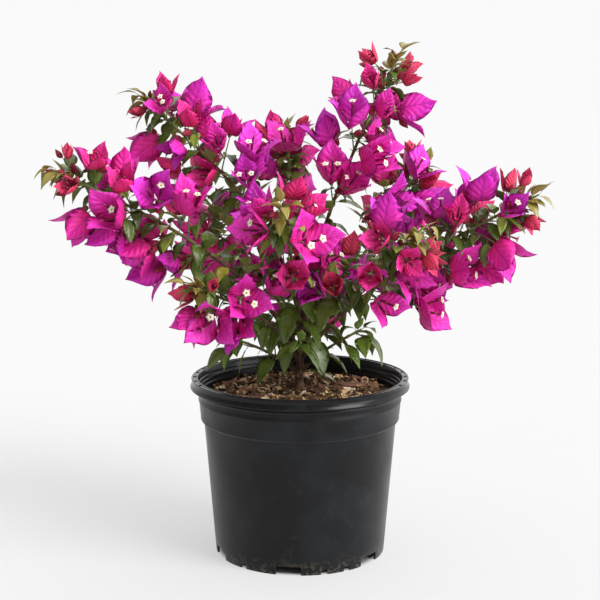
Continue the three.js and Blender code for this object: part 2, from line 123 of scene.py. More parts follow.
pot = turned("nursery_pot", pot_outline, steps=144)


def cutter_box(radius, turn, depth, width, low, high):
    """One box that cuts a notch or a slot at a turn round the pot."""
    spin = math.radians(turn)
    place = (radius * math.cos(spin) * MM, radius * math.sin(spin) * MM, (low + high) / 2 * MM)
    bpy.ops.mesh.primitive_cube_add(size=1, location=place, rotation=(0, 0, spin))
    box = bpy.context.object
    box.scale = (depth * MM, width * MM, (high - low) * MM)
    bpy.ops.object.transform_apply(location=True, rotation=True, scale=True)
    return box


cutters = [cutter_box(FOOT_RADIUS + 1, turn, 12, 27, -4, 9.4) for turn in NOTCH_TURNS]
cutters += [cutter_box(FOOT_RADIUS + 1, turn, 12, 7, -4, 5) for turn in SMALL_NOTCH_TURNS]
for box in cutters:
    apply_modifier(box, "BEVEL", width=1.1 * MM, segments=2)
for turn in RIM_SLOT_TURNS:
    cutters.append(cutter_box(RIM_RADIUS - 4.9, turn, 3.4, 5.4, POT_HEIGHT - 4, POT_HEIGHT + 2))
cutters.append(cutter_box(RIM_RADIUS + 1.6, MOULD_MARK_TURN, 4, 0.9, LIP_BOTTOM - 4, POT_HEIGHT - 3))
bpy.ops.object.select_all(action="DESELECT")
for box in cutters:
    box.select_set(True)
bpy.context.view_layer.objects.active = cutters[0]
bpy.ops.object.join()
notch_cutter = bpy.context.object
apply_modifier(pot, "BOOLEAN", operation="DIFFERENCE", object=notch_cutter, solver="EXACT")
bpy.data.objects.remove(notch_cutter)
apply_modifier(pot, "BEVEL", width=0.3 * MM, segments=2, limit_method="ANGLE", angle_limit=math.radians(28))
make_active(pot)
bpy.ops.object.shade_smooth_by_angle(angle=math.radians(32))


def paint(code):
    """A colour code such as 7a5c40 as the linear colour that a shader takes."""
    levels = [int(code[i : i + 2], 16) / 255 for i in (0, 2, 4)]
    return [v / 12.92 if v <= 0.04045 else ((v + 0.055) / 1.055) ** 2.4 for v in levels] + [1.0]


class Nodes:
    """The nodes of a material, a group or a world."""

    def __init__(self, tree):
        self.tree = tree

    def feed(self, value, socket):
        if isinstance(value, bpy.types.NodeSocket):
            self.tree.links.new(value, socket)
        else:
            socket.default_value = value

    def add(self, kind, values=(), **settings):
        """A node with its settings and its inputs, in order or by name. An output among them is linked."""
        node = self.tree.nodes.new(kind)
        for setting, choice in settings.items():
            setattr(node, setting, choice)
        for key, value in values.items() if isinstance(values, dict) else enumerate(values):
            self.feed(value, node.inputs[key])
        return node

    def parts(self, vector):
        return self.add("ShaderNodeSeparateXYZ", [vector]).outputs

    def math(self, operation, *values):
        return self.add("ShaderNodeMath", values, operation=operation).outputs[0]

    def ramp(self, value, low, high, start=0.0, end=1.0):
        """A value stretched between two ends and held there."""
        return self.add("ShaderNodeMapRange", (value, low, high, start, end)).outputs[0]

    def mix(self, share, first, second):
        """The colour between two, each an output or a colour code."""
        first, second = (paint(color) if isinstance(color, str) else color for color in (first, second))
        return self.add("ShaderNodeMix", {0: share, 6: first, 7: second}, data_type="RGBA").outputs[2]

    def coat(self, tone, color, mask, share):
        """A tone with a colour laid over it by a mask, up to a share."""
        return self.mix(self.ramp(mask, 0, 1, 0, share), tone, color)


def make_group(name, inputs, outputs):
    """An empty node group of values about a place: its nodes, what it is given and what it puts out."""
    group = Nodes(bpy.data.node_groups.new(name, "ShaderNodeTree"))
    for label in inputs:
        kind = "NodeSocketVector" if label == "Place" else "NodeSocketFloat"
        group.tree.interface.new_socket(name=label, in_out="INPUT", socket_type=kind)
    for label in outputs:
        group.tree.interface.new_socket(name=label, in_out="OUTPUT", socket_type="NodeSocketFloat")
    return group, group.add("NodeGroupInput").outputs, group.add("NodeGroupOutput").inputs


# Patches of wear, dirt or tone: soft noise, stretched between two levels to a mask.
patches, given, put_out = make_group("patches", ["Place", "Scale", "Detail", "Low", "High"], ["Mask"])
soft_noise = patches.add("ShaderNodeTexNoise", {"Vector": given[0], "Scale": given[1], "Detail": given[2]})
patches.feed(patches.ramp(soft_noise.outputs[0], given[3], given[4]), put_out[0])


class Finish(Nodes):
    """A material. Its shader's own sockets take the values that are the same all over."""

    def __init__(self, name, **sockets):
        self.material = bpy.data.materials.new(name)
        self.material.use_nodes = True
        super().__init__(self.material.node_tree)
        self.shader = self.tree.nodes["Principled BSDF"]
        self.place = self.add("ShaderNodeTexCoord").outputs["Object"]
        for socket, value in sockets.items():
            self.shader.inputs[socket.replace("_", " ").title().replace("Ior", "IOR")].default_value = value

    def mask(self, scale, low, high, detail=3.0):
        """A mask of patches of some scale, between two levels of the noise."""
        values = (self.place, scale, detail, low, high)
        return self.add("ShaderNodeGroup", values, node_tree=patches.tree).outputs[0]

    def paint_with(self, color, roughness=None, height=None, strength=0.3, distance=0.0005):
        """Feeds the shader's colour and roughness, and a bump made from a height."""
        self.feed(color, self.shader.inputs["Base Color"])
        if roughness is not None:
            self.feed(roughness, self.shader.inputs["Roughness"])
        if height is not None:
            bump = self.add("ShaderNodeBump", {"Strength": strength, "Distance": distance, "Height": height})
            self.feed(bump.outputs[0], self.shader.inputs["Normal"])
        return self.material


# Black polyethylene: a dull sheen, dust, paler scuffs and a film of dried mud round the foot, under a shiny lip.
plastic = Finish(
    "black_polyethylene", roughness=0.34, specular_ior_level=0.22, sheen_weight=0.07, sheen_roughness=0.45
)
height_axis = plastic.parts(plastic.place)[2]
tone = plastic.mix(plastic.mask(14.0, 0.35, 0.65, 5.0), "060708", "0e1013")
tone = plastic.coat(tone, "2a2c30", plastic.mask(26.0, 0.5, 0.78, 9.0), 0.35)
tone = plastic.coat(tone, "48484a", plastic.mask(90.0, 0.58, 0.8, 8.0), 0.16)
mud_height = plastic.ramp(height_axis, 0.002, 0.018, 1, 0)
mud = plastic.math("MULTIPLY", mud_height, plastic.mask(240.0, 0.5, 0.6, 9.0))
tone = plastic.coat(tone, "5a5144", mud, 0.6)
dulled = plastic.ramp(plastic.mask(30.0, 0.3, 0.7, 6.0), 0, 1, 0.3, 0.44)
rough = plastic.ramp(height_axis, 0.176, 0.182, dulled, 0.2)
pot.data.materials.append(plastic.paint_with(tone, rough, plastic.mask(260.0, 0.3, 0.7), 0.1, 0.0002))
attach(pot, "root")
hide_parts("pot")

# ---------------------------------------------------------------- Potting mix
# Composted bark, coir fibre and wood chip, tipped in and watered down to a low mound. The bed is one crumbly
# body that fills the pot, and the loose chips and fibres that show on top are separate small pieces.

SOIL_TOP, SOIL_SEAT, SOIL_MOUND, SOIL_MOUND_TOP, SOIL_EDGE_TOP = 176, 22, 70, 175, 172.5
SOIL_EDGE = COLLAR_RADIUS - WALL + 0.7
BED_GAP = 0.3


def soil_height(radius):
    """Height of the bed's smooth surface at a distance from the pot's axis."""
    reaches = [0, SOIL_SEAT, SOIL_MOUND, SOIL_EDGE + 2]
    return np.interp(radius, reaches, [SOIL_TOP, SOIL_TOP, SOIL_MOUND_TOP, SOIL_EDGE_TOP])


bed_outline = [(0, FLOOR + BED_GAP), (PAD_RADIUS - 2.3, FLOOR + BED_GAP), (PAD_RADIUS + 0.7, FLOOR_EDGE + BED_GAP)]
bed_outline.append((body_radius(FLOOR_EDGE) - WALL - BED_GAP, FLOOR_EDGE + BED_GAP))
bed_outline += [(BODY_TOP_RADIUS - WALL - BED_GAP, BODY_TOP), (COLLAR_RADIUS - WALL, COLLAR_BOTTOM + 4)]
bed_outline += [(radius, float(soil_height(radius))) for radius in np.arange(SOIL_EDGE - BED_GAP, 1, -2.2)]
bed = turned("potting_mix_bed", bed_outline + [(0, SOIL_TOP)], steps=150)
for vertex in bed.data.vertices:
    reach = math.hypot(vertex.co.x, vertex.co.y) / MM
    if vertex.co.z > (SOIL_EDGE_TOP - 4) * MM and reach < SOIL_EDGE - 1:
        lumps = noise.fractal(vertex.co * 95, 0.6, 2.0, 4) * 1.8
        vertex.co.z += (lumps - 0.6) * MM
make_active(bed)
bpy.ops.object.shade_smooth()

damp_mix = Finish("damp_potting_mix", roughness=0.93)
tone = damp_mix.mix(damp_mix.mask(180.0, 0.4, 0.6, 6.0), "090503", "2a1c10")
tone = damp_mix.mix(damp_mix.mask(420.0, 0.58, 0.7, 4.0), tone, "6a5236")
bed.data.materials.append(damp_mix.paint_with(tone, None, damp_mix.mask(500.0, 0.3, 0.7, 6.0), 0.8, 0.0015))
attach(bed, "root")
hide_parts("potting_mix")


class Heap:
    """Many small closed shapes, given in millimetres, that become one joined mesh."""

    def __init__(self):
        self.points, self.faces, self.slots, self.spots = [], [], [], []
        self.count = 0

    def add(self, points, faces, slots=0, spots=None):
        """Adds a shape. slots is the material of each face, and spots the flat place of each point."""
        self.points.append(points)
        self.faces += [tuple(corner + self.count for corner in face) for face in faces]
        self.slots += [slots] * len(faces) if isinstance(slots, int) else list(slots)
        self.spots.append(np.zeros((len(points), 2)) if spots is None else spots)
        self.count += len(points)

    def make(self, name, finishes, slot, stands_for=(), smooth=True):
        """Joins the shapes to one piece that rides on the plant."""
        mesh = bpy.data.meshes.new(name)
        mesh.from_pydata((np.concatenate(self.points) * MM).tolist(), [], self.faces)
        mesh.polygons.foreach_set("material_index", self.slots)
        mesh.polygons.foreach_set("use_smooth", [smooth] * len(self.faces))
        corners = np.zeros(len(mesh.loops), int)
        mesh.loops.foreach_get("vertex_index", corners)
        layer = mesh.uv_layers.new(name="blade")
        layer.data.foreach_set("uv", np.concatenate(self.spots)[corners].ravel())
        for finish in finishes:
            mesh.materials.append(finish)
        piece = bpy.data.objects.new(name, mesh)
        bpy.context.scene.collection.objects.link(piece)
        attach(piece, "root")
        if stands_for:
            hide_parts(*stands_for)
        return piece


CHIP_FACES = [(0, 3, 2, 1), (4, 5, 6, 7), (0, 1, 5, 4), (1, 2, 6, 5), (2, 3, 7, 6), (3, 0, 4, 7)]
CHIP_CORNERS = np.array([[x, y, z] for z in (-1, 1) for x, y in ((-1, -1), (1, -1), (1, 1), (-1, 1))]) / 2
MIX_REACH = SOIL_EDGE - 3.5
chance = np.random.default_rng(20)


def add_chip(heap, centre, sizes, yaw, tilts, roughness=0.2):
    """A torn flake of bark or wood: a block with its corners pushed about, turned and tipped."""
    corners = CHIP_CORNERS * (1 + chance.uniform(-roughness, roughness, (8, 3))) * sizes
    cos_y, sin_y = math.cos(yaw), math.sin(yaw)
    (cos_a, sin_a), (cos_b, sin_b) = [(math.cos(t), math.sin(t)) for t in tilts]
    lean = np.array([[1, 0, 0], [0, cos_a, -sin_a], [0, sin_a, cos_a]])
    pitch = np.array([[cos_b, 0, sin_b], [0, 1, 0], [-sin_b, 0, cos_b]])
    swing = np.array([[cos_y, -sin_y, 0], [sin_y, cos_y, 0], [0, 0, 1]])
    heap.add(corners @ (swing @ pitch @ lean).T + centre, CHIP_FACES)


def chip_finish(name, dark, pale, scale=260.0):
    finish = Finish(name, roughness=0.88)
    tone = finish.mix(finish.mask(scale, 0.35, 0.65, 5.0), dark, pale)
    return finish.paint_with(tone, None, finish.mask(700.0, 0.3, 0.7, 5.0), 0.5, 0.0006)


# name, two colours, count, distance from the wall, the spans of length, width, thickness and lift, and the tilt
for name, dark, pale, count, inset, *spans, tilt in (
    ("bark_crumbs", "0a0604", "342312", 900, 0, (2, 6), (1.5, 4.5), (1, 3), (-1, 1.6), 0.6),
    ("bark_chips", "22150b", "7a5831", 300, 0, (4, 14), (3, 8), (1, 3), (-0.5, 2.6), 0.5),
    ("red_bark_chips", "4c2e20", "96684e", 40, 8, (10, 24), (5, 11), (1.4, 3.4), (0.6, 2.6), 0.25),
    ("wood_chips", "98703e", "ffdfa6", 150, 4, (3, 10), (2, 6), (0.8, 2.2), (0.4, 3), 0.5),
    ("pale_bark_chips", "b89c78", "fff2d8", 26, 6, (5, 12), (4, 8), (1, 2.4), (1, 3), 0.4),
    ("wood_crumbs", "a07e4c", "f6d8a2", 280, 2, (1.6, 4), (1.2, 3), (0.8, 2), (0.6, 2.8), 0.7),
    ("coir_fibres", "5e4630", "b08c60", 220, 8, (8, 24), (0.5, 0.9), (0.4, 0.8), (1.2, 3.6), 0.2),
):
    strewn = Heap()
    for _ in range(count):
        radius, turn = (MIX_REACH - inset) * math.sqrt(chance.random()), chance.uniform(0, 2 * math.pi)
        *sizes, lift = [chance.uniform(*span) for span in spans]
        centre = np.array([radius * math.cos(turn), radius * math.sin(turn), soil_height(radius) + lift])
        add_chip(strewn, centre, sizes, chance.uniform(0, math.pi), chance.normal(0, tilt, 2))
    strewn.make(name, [chip_finish(name, dark, pale)], "potting_mix", smooth=False)

large_bark, tan_chip = Heap(), Heap()
add_chip(large_bark, np.array([61, 22, SOIL_TOP + 1.5]), [30, 12, 4], 0.15, (0.2, 0.05), 0.25)
add_chip(large_bark, np.array([-54, -30, SOIL_TOP + 0.5]), [22, 10, 3.4], 0.9, (-0.2, 0.1), 0.25)
add_chip(tan_chip, np.array([50, -11, SOIL_TOP + 1.5]), [11, 8, 3], 0.5, (0.3, 0.1), 0.25)
for turn in np.radians(np.arange(0, 360, 40)):
    shaving = np.array([73 + 3.3 * math.cos(turn), 42 + 2 * math.sin(turn), SOIL_TOP + 3.2 + 2.8 * math.sin(turn)])
    add_chip(tan_chip, shaving, [2.9, 1.8, 1.5], turn + math.pi / 2, (0, 0), 0.15)
large_bark.make("large_bark_pieces", [chip_finish("large_bark", "5a3626", "96664e")], "potting_mix", smooth=False)
tan_chip.make("tan_chip", [chip_finish("tan_wood", "c09a70", "ecc8a0")], "potting_mix", smooth=False)

# ---------------------------------------------------------------- Trunk and boughs
# Living wood under rough brown bark. A short trunk flares at the mix and forks into eleven boughs, each a tapering
# limb with knobs at its old buds. The skin is one body: limbs run together at the forks, then the bark cracks.

TRUNK_HEIGHT, TRUNK_FOOT_X, TRUNK_LEAN_X, TRUNK_LEAN_Y = 60, -1.5, 2.5, 1.5
TRUNK_FLARE, TRUNK_FLARE_HEIGHT, TRUNK_LOW, TRUNK_TOP = 2, 5, 4.6, 3.6
BOUGH_FOOT, BOUGH_TIP, BOUGH_FULL_LENGTH, BOUGH_STEPS = 2.9, 1.35, 340, 20
TRUNK_FOOT = SOIL_TOP + 0.3
UP = np.array([0.0, 0.0, 1.0])

# name: height over the mix, heading, length, lean at the foot and at the tip, turn of the first bud, seed
BOUGHS = {
    "left": (39, 192, 328, 65, 26, 110, 147),
    "upper_left": (47, 163, 331, 92, 39, 15, 853),
    "upper_right": (56, 26, 326, 85, 61, 15, 255),
    "right": (36, 351, 303, 53, 28, 315, 561),
    "front": (50, 263, 221, 72, 36, 255, 835),
    "front_left": (30, 228, 188, 60, 20, 185, 26),
    "front_right": (42, 312, 225, 60, 30, 270, 825),
    "back_left": (33, 134, 269, 71, 32, 155, 961),
    "back": (53, 98, 259, 83, 51, 310, 717),
    "back_right": (44, 46, 282, 65, 31, 275, 244),
    "low_back": (24, 83, 189, 46, 19, 325, 941),
}
SHORT_STEMS = {
    "inner_left": (27, 233, 137, 78, 51, 110, 11),
    "inner_right": (33, 305, 147, 72, 43, 260, 183),
    "low_front": (19, 271, 93, 63, 20, 180, 298),
    "low_left": (15, 200, 97, 55, 21, 150, 58),
    "low_right": (17, 339, 94, 57, 29, 155, 264),
    "low_rear": (12, 122, 83, 55, 30, 230, 2),
}
BARE_SHARE = 0.2


def mix(low, high, share):
    return low + (high - low) * share


def unit(vector):
    return vector / math.sqrt(float(vector @ vector))


def blend(*terms):
    """The direction of a weighted sum of vectors."""
    return unit(sum(vector * share for vector, share in terms))


def cross(a, b):
    return np.array([a[1] * b[2] - a[2] * b[1], a[2] * b[0] - a[0] * b[2], a[0] * b[1] - a[1] * b[0]])


def trunk_point(height):
    share = height / TRUNK_HEIGHT
    return np.array([TRUNK_FOOT_X + TRUNK_LEAN_X * share, TRUNK_LEAN_Y * share, TRUNK_FOOT + height])


def trunk_radius(height):
    flare = TRUNK_FLARE * math.exp(-height / TRUNK_FLARE_HEIGHT)
    return mix(TRUNK_LOW, TRUNK_TOP, height / TRUNK_HEIGHT) + flare


def sideways(way, steep=0.9):
    """A vector square to a direction: level, unless the direction is steep."""
    return cross(way, UP if abs(way[2]) < steep else np.array([1.0, 0, 0]))


class Limb:
    """A bough or a short stem with the stem that carries on from it: steep at the trunk, levelling out as an arc."""

    def __init__(self, name, foot, heading, length, foot_lean, tip_lean, turn, seed):
        self.name, self.length, self.turn, self.seed = name, length, turn, seed
        self.is_bough = name in BOUGHS
        self.start = BARE_SHARE * length if self.is_bough else 0
        self.step = length / BOUGH_STEPS
        spin = math.radians(heading)
        path = [trunk_point(foot)]
        for i in range(BOUGH_STEPS):
            share = (i + 0.5) / BOUGH_STEPS
            lean = math.radians(tip_lean + (foot_lean - tip_lean) * (1 - share) ** 2)
            flat = math.cos(lean)
            way = np.array([math.cos(spin) * flat, math.sin(spin) * flat, math.sin(lean)])
            path.append(path[-1] + way * self.step)
        self.path = np.array(path)

    def along(self, distance):
        """The point and the direction at a distance along it."""
        i = min(int(distance // self.step), BOUGH_STEPS - 1)
        way = unit(self.path[i + 1] - self.path[i])
        return self.path[i] + way * (distance - i * self.step), way

    def radius(self, distance):
        foot = BOUGH_FOOT * math.sqrt(self.length / BOUGH_FULL_LENGTH)
        return mix(foot, BOUGH_TIP, math.sqrt(distance / self.length))


limbs = [Limb(name, *numbers) for name, numbers in {**BOUGHS, **SHORT_STEMS}.items()]
boughs = limbs[: len(BOUGHS)]


def tube(points, radii, sides):
    """A round limb along its points, closed at both ends: its points and faces."""
    points, radii = np.asarray(points, float), np.asarray(radii, float)
    runs = np.gradient(points, axis=0)
    runs /= np.linalg.norm(runs, axis=1)[:, None]
    across = sideways(runs[0])
    turns = 2 * np.pi * np.arange(sides) / sides
    rings = []
    for point, run, radius in zip(points, runs, radii):
        across = unit(across - run * (across @ run))
        lift = cross(run, across)
        rings.append(point + radius * (np.cos(turns)[:, None] * across + np.sin(turns)[:, None] * lift))
    faces = [tuple(range(sides))[::-1], tuple((len(points) - 1) * sides + k for k in range(sides))]
    for i in range(len(points) - 1):
        for k in range(sides):
            n = (k + 1) % sides
            faces.append((i * sides + k, i * sides + n, (i + 1) * sides + n, (i + 1) * sides + k))
    return np.concatenate(rings), faces


def from_runs(points, feet, spans):
    """How far each point is from each of many straight runs, given by their feet and spans."""
    offsets = points.reshape(-1, *[1] * (feet.ndim - 1), 3) - feet
    shares = np.clip((offsets * spans).sum(-1) / (spans * spans).sum(-1), 0, 1)
    return np.linalg.norm(offsets - shares[..., None] * spans, axis=-1)


KNOB_PITCH = 13.0
wood = Heap()
heights = np.linspace(-1.5, TRUNK_HEIGHT, 36)
knobs = 0.35 * np.maximum(np.sin(heights / 3.1), 0) ** 3
wood.add(*tube([trunk_point(h) for h in heights], [trunk_radius(max(h, 0)) for h in heights] + knobs, 20))
for limb in boughs:
    distances = np.linspace(0, limb.start + 0.6, 40)
    knobs = 1 + 0.16 * np.exp(-(((distances % KNOB_PITCH) - KNOB_PITCH / 2) ** 2) / 2.2)
    collar = 0.9 * np.exp(-distances / 5)
    radii = [limb.radius(d) for d in distances] * knobs + collar
    wood.add(*tube([limb.along(d)[0] for d in distances], radii, 12))
# height over the mix, heading and length of each stub of a cut twig
TRUNK_STUBS = ((14, 250, 6), (24, 20, 5), (31, 285, 7), (40, 140, 5), (52, 215, 6))
for height, turn, length in TRUNK_STUBS:
    spin = math.radians(turn)
    way = unit(np.array([math.cos(spin), math.sin(spin), 0.7]))
    foot = trunk_point(height)
    wood.add(*tube([foot, foot + way * (length + 3), foot + way * (length + 5)], [2.0, 1.5, 1.3], 8))

bark_skin = wood.make("bark_skin", [], "bark", ["trunk"] + [f"bough_{limb.name}" for limb in boughs])
apply_modifier(bark_skin, "REMESH", mode="VOXEL", voxel_size=0.5 * MM)
apply_modifier(bark_skin, "SMOOTH", factor=0.5, iterations=3)


# Ridges run along each limb: noise drawn out along the nearest wood pushes the skin in and out.
mesh = bark_skin.data
points, normals = np.zeros(len(mesh.vertices) * 3), np.zeros(len(mesh.vertices) * 3)
mesh.vertices.foreach_get("co", points)
mesh.vertices.foreach_get("normal", normals)
points, normals = points.reshape(-1, 3) / MM, normals.reshape(-1, 3)
lines = [np.array([trunk_point(0), trunk_point(TRUNK_HEIGHT)])] + [limb.path[:5] for limb in boughs]
spans = np.concatenate([np.diff(line, axis=0) for line in lines])
nearest = from_runs(points, np.concatenate([line[:-1] for line in lines]), spans).argmin(1)
runs = spans[nearest] / np.linalg.norm(spans[nearest], axis=1)[:, None]
squeezed = points - 0.72 * ((points * runs).sum(1)[:, None] * runs)
ridges = np.array([noise.fractal(Vector(p), 0.7, 2.1, 4) for p in squeezed * 0.9])
plates = np.array([noise.noise(Vector(p)) for p in squeezed * 0.33])
relief = (0.42 * ridges + 0.4 * plates) * np.interp(points[:, 2], [TRUNK_FOOT, TRUNK_FOOT + 90], [1.0, 0.55])
mesh.vertices.foreach_set("co", ((points + normals * relief[:, None]) * MM).ravel())
mesh.update()
make_active(bark_skin)
bpy.ops.object.shade_smooth()


def bark_finish(name, dark, mid, pale, rough=0.85):
    """Bark or green rind: patchy tone, pale dots and fine cracks."""
    finish = Finish(name, roughness=rough)
    tone = finish.mix(finish.mask(160.0, 0.35, 0.65, 5.0), dark, mid)
    tone = finish.mix(finish.mask(520.0, 0.6, 0.74), tone, pale)
    return finish.paint_with(tone, None, finish.mask(900.0, 0.3, 0.7, 6.0), 0.6, 0.0005)


bark_skin.data.materials.append(bark_finish("brown_bark", "432d20", "7c5c44", "ae9070"))

# ---------------------------------------------------------------- The growing rule
# Every limb carries a bud each golden turn round it. Low down a bud is a leafy twig, farther out a flowering
# shoot, and each node has a leaf on its far side. What would leave the limb's own space or touch wood is skipped.

FLOWERS_FROM, SHORT_STEM_FLOWERS_FROM = 0.36, 0.56
LEAFY_STEMS = ("low_front", "low_left", "low_right", "low_rear")
GOLDEN_TURN, FIRST_NODE, TIP_RUN = 137.5, 8, 13
SHOOT_TURNS = [0, 38, -38, 76, -76, 114, -114]
AXIS_SHARES = [0, 0.4, 0.55, 0.7, 0.85, 1]
LEAF_LENGTH, LEAF_WIDTH, PETIOLE, LEAF_FOLD = 38, 21, 6, 0.3
BLOOM_HEIGHT, BLOOM_SPREAD, BUD_HEIGHT, BUD_SPREAD = 40, 28, 30, 9
BLOOM_TO_BLOOM, LEAF_TO_BLOOM, LEAF_TO_LEAF = 34, 23, 17
CLEAR_SPACE, CLEAR_LIMB, CLEAR_TRUNK, CLEAR_SOIL, CLEAR_RIM = 1.6, BOUGH_FOOT + 2.2, TRUNK_LOW + 2.2, 5, 4
FINE_CLEAR_LIMB, FREE_CLEAR_LIMB = 3.6, 3.2
LOW_BLOOM_HEIGHT, YOUNG_FROM, YOUNGEST_FROM = 236, 0.86, 0.93
LATE_BLOOMS_FROM, LATE_BLOOMS_ON_A_STEM, TRUNK_SHOWS = 288, 2, 12
LATE_BLOOM_ROOM, LATE_BLOOM_TO_LEAF, OLD_LEAF_ROOM = 25, 12, 20
SIDE_BLOOM_ROOM, NODE_LEAF_ROOM, TWIG_LEAF_ROOM, SHOOT_LEAF_ROOM = (27, 14), (19, 16), (19, 15), (14, 14)
FORK_SHARE, TWIG_SHARE, BUD_TO_BLOOM, TIP_LEAF_TO_BLOOM = 0.35, 0.42, 9, 7


class Dice:
    """Repeatable throws from 0 to 1."""

    def __init__(self, seed):
        self.state = seed

    def roll(self):
        self.state = (self.state * 1664525 + 1013904223) % 4294967296
        return self.state / 4294967296

    def between(self, low, high):
        return low + (high - low) * self.roll()


def distances_to(points, lines):
    """How far each point is from each of several lines of equal count."""
    return from_runs(points, lines[:, :-1], np.diff(lines, axis=1)).min(-1)


axis_lines = np.array(
    [[limb.along(mix(limb.start, limb.length, share))[0] for share in AXIS_SHARES] for limb in limbs]
)
bough_lines = np.array([limb.path[:5] for limb in boughs])
trunk_line = np.array([[trunk_point(0), trunk_point(TRUNK_HEIGHT)]])


def clear_of_pot(points):
    """True if no point is in the mix or near the pot's wall."""
    radii = np.hypot(points[:, 0], points[:, 1])
    over_wall = (radii > COLLAR_RADIUS - 13) & (radii < RIM_RADIUS + 6)
    too_low = np.where(over_wall, POT_HEIGHT + CLEAR_RIM, SOIL_TOP + CLEAR_SOIL)
    return not (points[:, 2] < too_low).any()


def fits_in(limb, points, to_limb=CLEAR_LIMB):
    """True if every point is nearer to this limb's stem than to any other, and clear of the wood and the pot."""
    points = np.asarray(points)
    away = distances_to(points, axis_lines)
    me = limbs.index(limb)
    own = away[:, me] + CLEAR_SPACE
    away[:, me] = np.inf
    if not clear_of_pot(points) or (away.min(1) < own).any():
        return False
    to_trunk = distances_to(points, trunk_line)
    return bool((to_trunk > CLEAR_TRUNK).all() and (distances_to(points, bough_lines) > to_limb).all())


def round_stem(way, turn):
    """The direction square out of a stem that runs along way, at a turn round it."""
    side = unit(cross(way, UP))
    over = cross(side, way)
    return blend((side, math.cos(math.radians(turn))), (over, math.sin(math.radians(turn))))


def at_bud(limb, way, node, extra=0):
    """The direction out of a stem at a bud: each next node stands a golden turn on."""
    return round_stem(way, limb.turn + GOLDEN_TURN * node + extra)


class Leaf:
    """A leaf rises on its stalk and arches over. droop is 0 for a level leaf and 1 for one that hangs."""

    def __init__(self, root, out, size, droop, tint=None):
        self.root, self.size, self.tint = root, size, tint
        across = unit(cross(out, UP))
        rise = blend((out, 1), (UP, 0.25 - 0.3 * droop))
        fall = blend((out, 1 - 0.6 * droop), (UP, -0.2 - 0.8 * droop))
        self.foot = root + rise * PETIOLE * size
        self.waist = self.foot + blend((rise, 1), (fall, 1)) * 0.38 * LEAF_LENGTH * size
        self.tip = self.waist + fall * 0.62 * LEAF_LENGTH * size
        face = unit(cross(across, self.tip - root))
        self.face, self.side = (face, across) if face[2] >= 0 else (-face, -across)
        self.centre = self.waist
        half = LEAF_WIDTH / 2 * size
        edge = self.face * LEAF_FOLD * half
        left, right = self.waist + across * half + edge, self.waist - across * half + edge
        self.outline = [self.waist, self.tip, left, right, (self.waist + self.tip) / 2]


class Bloom:
    """Three pointed bracts in a cup on a stalk. openness is 0 for a bud and 1 for a wide star."""

    def __init__(self, root, top, axis, size, spin, openness):
        self.root, self.top, self.axis, self.size = root, top, axis, size
        self.spin, self.openness = spin, openness
        self.side = unit(sideways(axis, 0.95))
        self.lift = cross(self.side, axis)
        self.height = mix(BUD_HEIGHT, BLOOM_HEIGHT, openness) * size
        self.spread = mix(BUD_SPREAD, BLOOM_SPREAD, openness) * size
        belly = 0.5 * self.spread + 3 * size
        self.centre = self.at(0, 0.45 * self.height, 0)
        self.outline = []
        for k in range(3):
            turn = spin + 120 * k
            self.outline.append(self.at(turn, 0.34 * self.height, belly))
            self.outline.append(self.at(turn + 60, 0.6 * self.height, 0.95 * belly))
            self.outline.append(self.at(turn, self.height, self.spread))

    def ray(self, turn):
        turn = np.radians(turn)
        return np.multiply.outer(np.cos(turn), self.side) + np.multiply.outer(np.sin(turn), self.lift)

    def at(self, turn, height, radius):
        return self.top + self.axis * height + self.ray(turn) * radius


